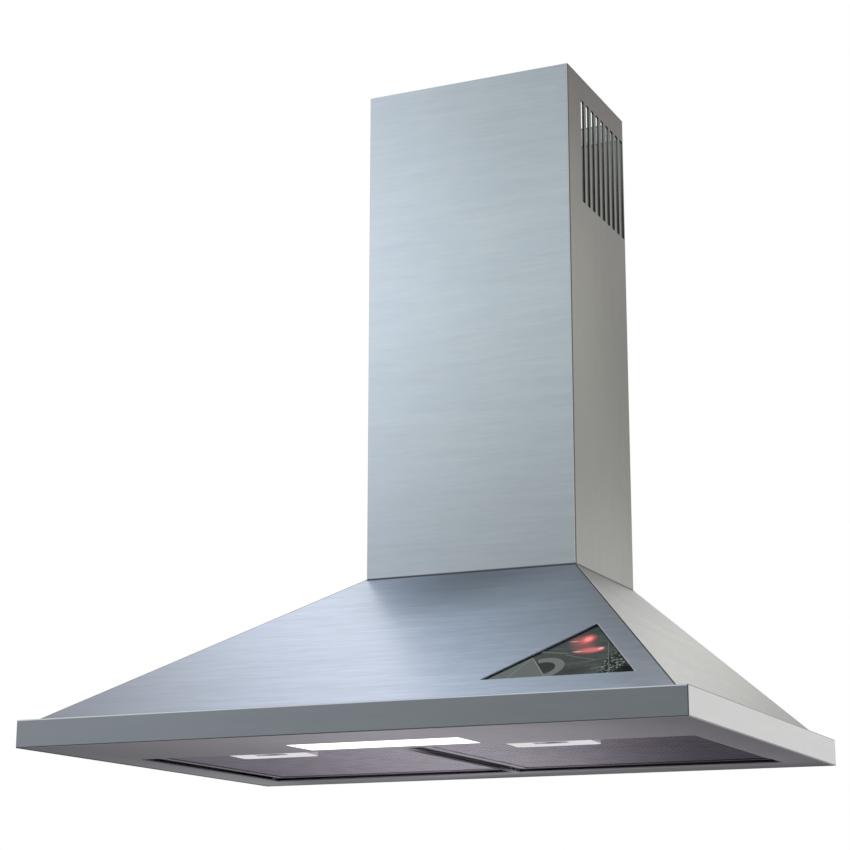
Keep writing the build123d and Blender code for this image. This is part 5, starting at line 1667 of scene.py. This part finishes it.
    def build(self) -> None:
        """Dress the panel and add its print."""
        self.dress(self.glass(), "control_glass")
        self.dress(Rubber("panel_seal", tone(16, 17, 18)), "control_gasket")
        self.dress(Moulded("panel_box_black", tone(24, 26, 27), 0.6), "control_housing")
        self.dress(SolderMask("board_mask", tone(44, 58, 50), tone(74, 92, 80)), "control_board")
        self.dress(Plated("touch_contact_brass", tone(200, 178, 120), 0.3), "control_touch_springs")
        self.dress(Plated("panel_nut_zinc", tone(200, 201, 200)), "control_nuts")
        bright = Patch(self.slope.at(1, 41, -8), (0.03, 0.02, 0.02), (1.0, 0.16, 0.13))
        bars = Glowing("light_bar_red", tone(190, 40, 36), (0.75, 0.05, 0.05), (bright,), 2.5)
        self.dress(bars, "control_leds")
        pale = Printed("panel_print", tone(112, 118, 115))
        dim = Printed("panel_field_print", tone(98, 106, 101))
        self.add("panel_ring", self.power_ring(), pale, "smoked_glass", self.body)
        self.add("panel_strokes", self.strokes(), dim, "smoked_glass", self.body)
        self.add("panel_corner_field", self.corner_field(), dim, "smoked_glass", self.body)
        lines = Printed("panel_line_print", tone(136, 142, 138))
        self.add("panel_field_lines", self.field_lines(), lines, "smoked_glass", self.body)
        # A painted highlight: a bright steel strip along the window's right edge.
        edge = BrushedSteel("window_cut_edge_steel", tone(206, 213, 219), streaks=0.10)
        self.add("window_cut_edge", self.cut_edge(), edge, "canopy_steel", self.body)


# ---------------------------------------------------------------- blower, outlet and electrics
@dataclass
class Blower(SubAssembly):
    """The scroll, the wheel and its motor."""

    lamination: float = 0.9 * MM
    wire: float = 1.1 * MM

    def build(self) -> None:
        """Dress the blower."""
        scroll = Moulded("scroll_moulding", tone(70, 71, 73), 0.5, 30e-6)
        self.dress(scroll, "blower_housing_left", "blower_housing_right")
        self.dress(Moulded("wheel_moulding", tone(92, 93, 95), 0.42), "impeller")
        casing = Galvanised("motor_casing_zinc", tone(168, 170, 172), 4 * MM)
        self.dress(casing, "motor_casing", "motor_bracket")
        ground = Plated("ground_steel", tone(205, 205, 206), 0.18, Grain.UPRIGHT)
        self.dress(ground, "motor_shaft", "motor_bearings")
        core = Striped("core_laminations", tone(120, 120, 124), tone(40, 40, 44), 0, self.lamination)
        self.dress(core, "motor_rotor", "motor_stator")
        copper = Striped("enamelled_copper", tone(196, 112, 60), tone(96, 46, 24), 1, self.wire, 0.9, 0.3)
        self.dress(copper, "motor_windings")
        self.dress(Plated("wheel_nut_zinc", tone(198, 199, 198)), "impeller_nut")
        self.dress(Rubber("motor_rubber", tone(22, 22, 23)), "motor_grommets")


@dataclass
class Outlet(SubAssembly):
    """The duct collar with its two flaps, the screws round it and the cable inlet."""

    seal: Tone = tone(20, 20, 21)

    def build(self) -> None:
        """Dress the outlet."""
        self.dress(Moulded("collar_moulding", tone(60, 61, 63), 0.48, 30e-6), "outlet_collar")
        self.dress(Moulded("flap_moulding", tone(222, 222, 218), 0.4), "flap_front", "flap_rear")
        self.dress(Plated("flap_pin_steel", tone(204, 204, 204), 0.2, Grain.ACROSS), "flap_pin")
        self.dress(Plated("screw_zinc", tone(200, 201, 200)), "screws")
        self.dress(Rubber("inlet_rubber", self.seal), "cable_gland")


@dataclass
class Electrics(SubAssembly):
    """The terminal box, the capacitor and the leads."""

    sheath: Tone = tone(226, 226, 222)

    def build(self) -> None:
        """Dress the electrics."""
        box = Moulded("terminal_box_moulding", tone(34, 34, 36), 0.55, 26e-6)
        self.dress(box, "terminal_box", "terminal_box_lid")
        self.dress(Moulded("capacitor_case", tone(232, 231, 226), 0.28), "capacitor")
        self.dress(Moulded("lead_sheath", self.sheath, 0.5, 8e-6), "wiring")


# ---------------------------------------------------------------- studio
@dataclass
class Studio:
    """Pale floor, white surroundings, soft lamps and the camera."""

    floor_level: float = -0.65
    floor_size: float = 60.0
    camera_place: Point = (0.7652, -1.9470, -0.1746)
    azimuth: float = 24.446
    elevation: float = -14.308
    roll: float = 0.049
    focal_length: float = 88.72
    sensor: float = 36.0
    room_light: float = 0.84

    def camera(self) -> None:
        """Set the camera where the photograph was taken from."""
        azimuth, elevation = math.radians(self.azimuth), math.radians(self.elevation)
        flat = math.cos(elevation)
        back = Vector((math.sin(azimuth) * flat, -math.cos(azimuth) * flat, math.sin(elevation)))
        right = Vector((math.cos(azimuth), math.sin(azimuth), 0.0))
        up = back.cross(right)
        turned = Matrix((right, up, back)).transposed().to_4x4()
        data = bpy.data.cameras.new("camera")
        data.lens, data.sensor_width = self.focal_length, self.sensor
        camera = bpy.data.objects.new("camera", data)
        rolled = turned @ Matrix.Rotation(math.radians(self.roll), 4, "Z")
        camera.matrix_world = Matrix.Translation(self.camera_place) @ rolled
        bpy.context.scene.collection.objects.link(camera)
        bpy.context.scene.camera = camera

    def lamp(self, name: str, place: Point, aim: Point, size: float, watts: float, colour: Tone) -> None:
        """Hang a soft square lamp.

        Args:
            name: the lamp's name.
            place: where it hangs.
            aim: where it points.
            size: its side.
            watts: its power.
            colour: its light.
        """
        data = bpy.data.lights.new(name, "AREA")
        data.shape, data.size, data.energy, data.color = "SQUARE", size, watts, colour
        lamp = bpy.data.objects.new(name, data)
        lamp.location = place
        lamp.rotation_euler = (Vector(aim) - Vector(place)).to_track_quat("-Z", "Y").to_euler()
        bpy.context.scene.collection.objects.link(lamp)

    def lamps(self) -> None:
        """Hang the studio's lamps."""
        self.lamp("left_softbox", (-2.2, -2.6, 1.9), (0.0, -0.2, 0.2), 2.2, 8.0, (0.93, 0.97, 1.0))
        self.lamp("right_softbox", (3.2, -0.9, 0.9), (0.1, -0.2, 0.2), 2.0, 8.0, (1.0, 0.99, 0.96))

    def surroundings(self) -> None:
        """White for the camera and in reflections, a little softer as light."""
        world = bpy.data.worlds.new("white_room")
        bpy.context.scene.world = world
        world.use_nodes = True
        sky = Nodes(world.node_tree)
        rays = sky.add("ShaderNodeLightPath", {}, {})
        camera, gloss, glass = (
            Wire(sky, rays.outputs[name])
            for name in ("Is Camera Ray", "Is Glossy Ray", "Is Transmission Ray")
        )
        seen = camera.highest(gloss).highest(glass)
        level = seen * (1 - self.room_light) + self.room_light
        back = sky.node("ShaderNodeBackground", {}, {"Color": (1.0, 1.0, 1.0), "Strength": level})
        sky.add("ShaderNodeOutputWorld", {}, {"Surface": back})

    def floor(self) -> None:
        """Lay the pale floor, at a hob's distance below the hood."""
        mesh = bmesh.new()
        half = self.floor_size / 2
        corners = [(-half, -half), (half, -half), (half, half), (-half, half)]
        mesh.faces.new([mesh.verts.new((x, y, self.floor_level)) for x, y in corners])
        data = bpy.data.meshes.new("floor")
        mesh.to_mesh(data)
        mesh.free()
        floor = bpy.data.objects.new("floor", data)
        bpy.context.scene.collection.objects.link(floor)
        paint = Paint("floor_paper")
        fibre = paint.noise(paint.place(), 260.0, 3.0)
        pale, dull = (0.88,) * 3, (0.84,) * 3
        colour = paint.blend((fibre - 0.4) * 0.5, pale, dull)
        data.materials.append(paint.finish({"Base Color": colour, "Roughness": 0.9}))

    def build(self) -> None:
        """Set up the whole studio."""
        self.camera()
        self.lamps()
        self.surroundings()
        self.floor()
        bpy.context.scene.view_settings.view_transform = "Standard"


def sub_assemblies() -> Iterable[SubAssembly]:
    """The hood's groups of pieces, in building order."""
    yield Canopy()
    yield Chimney()
    for side in Side:
        yield GreaseFilter(side)
    yield Lamp()
    yield ControlPanel(Slope())
    yield Blower()
    yield Outlet()
    yield Electrics()


def main() -> None:
    """Build the studio and the hood, and report each piece."""
    logging.basicConfig(level=logging.INFO, format="%(message)s")
    Studio().build()
    for group in sub_assemblies():
        group.build()
        LOG.info("%s finished", type(group).__name__)


if __name__ == "__main__":
    main()
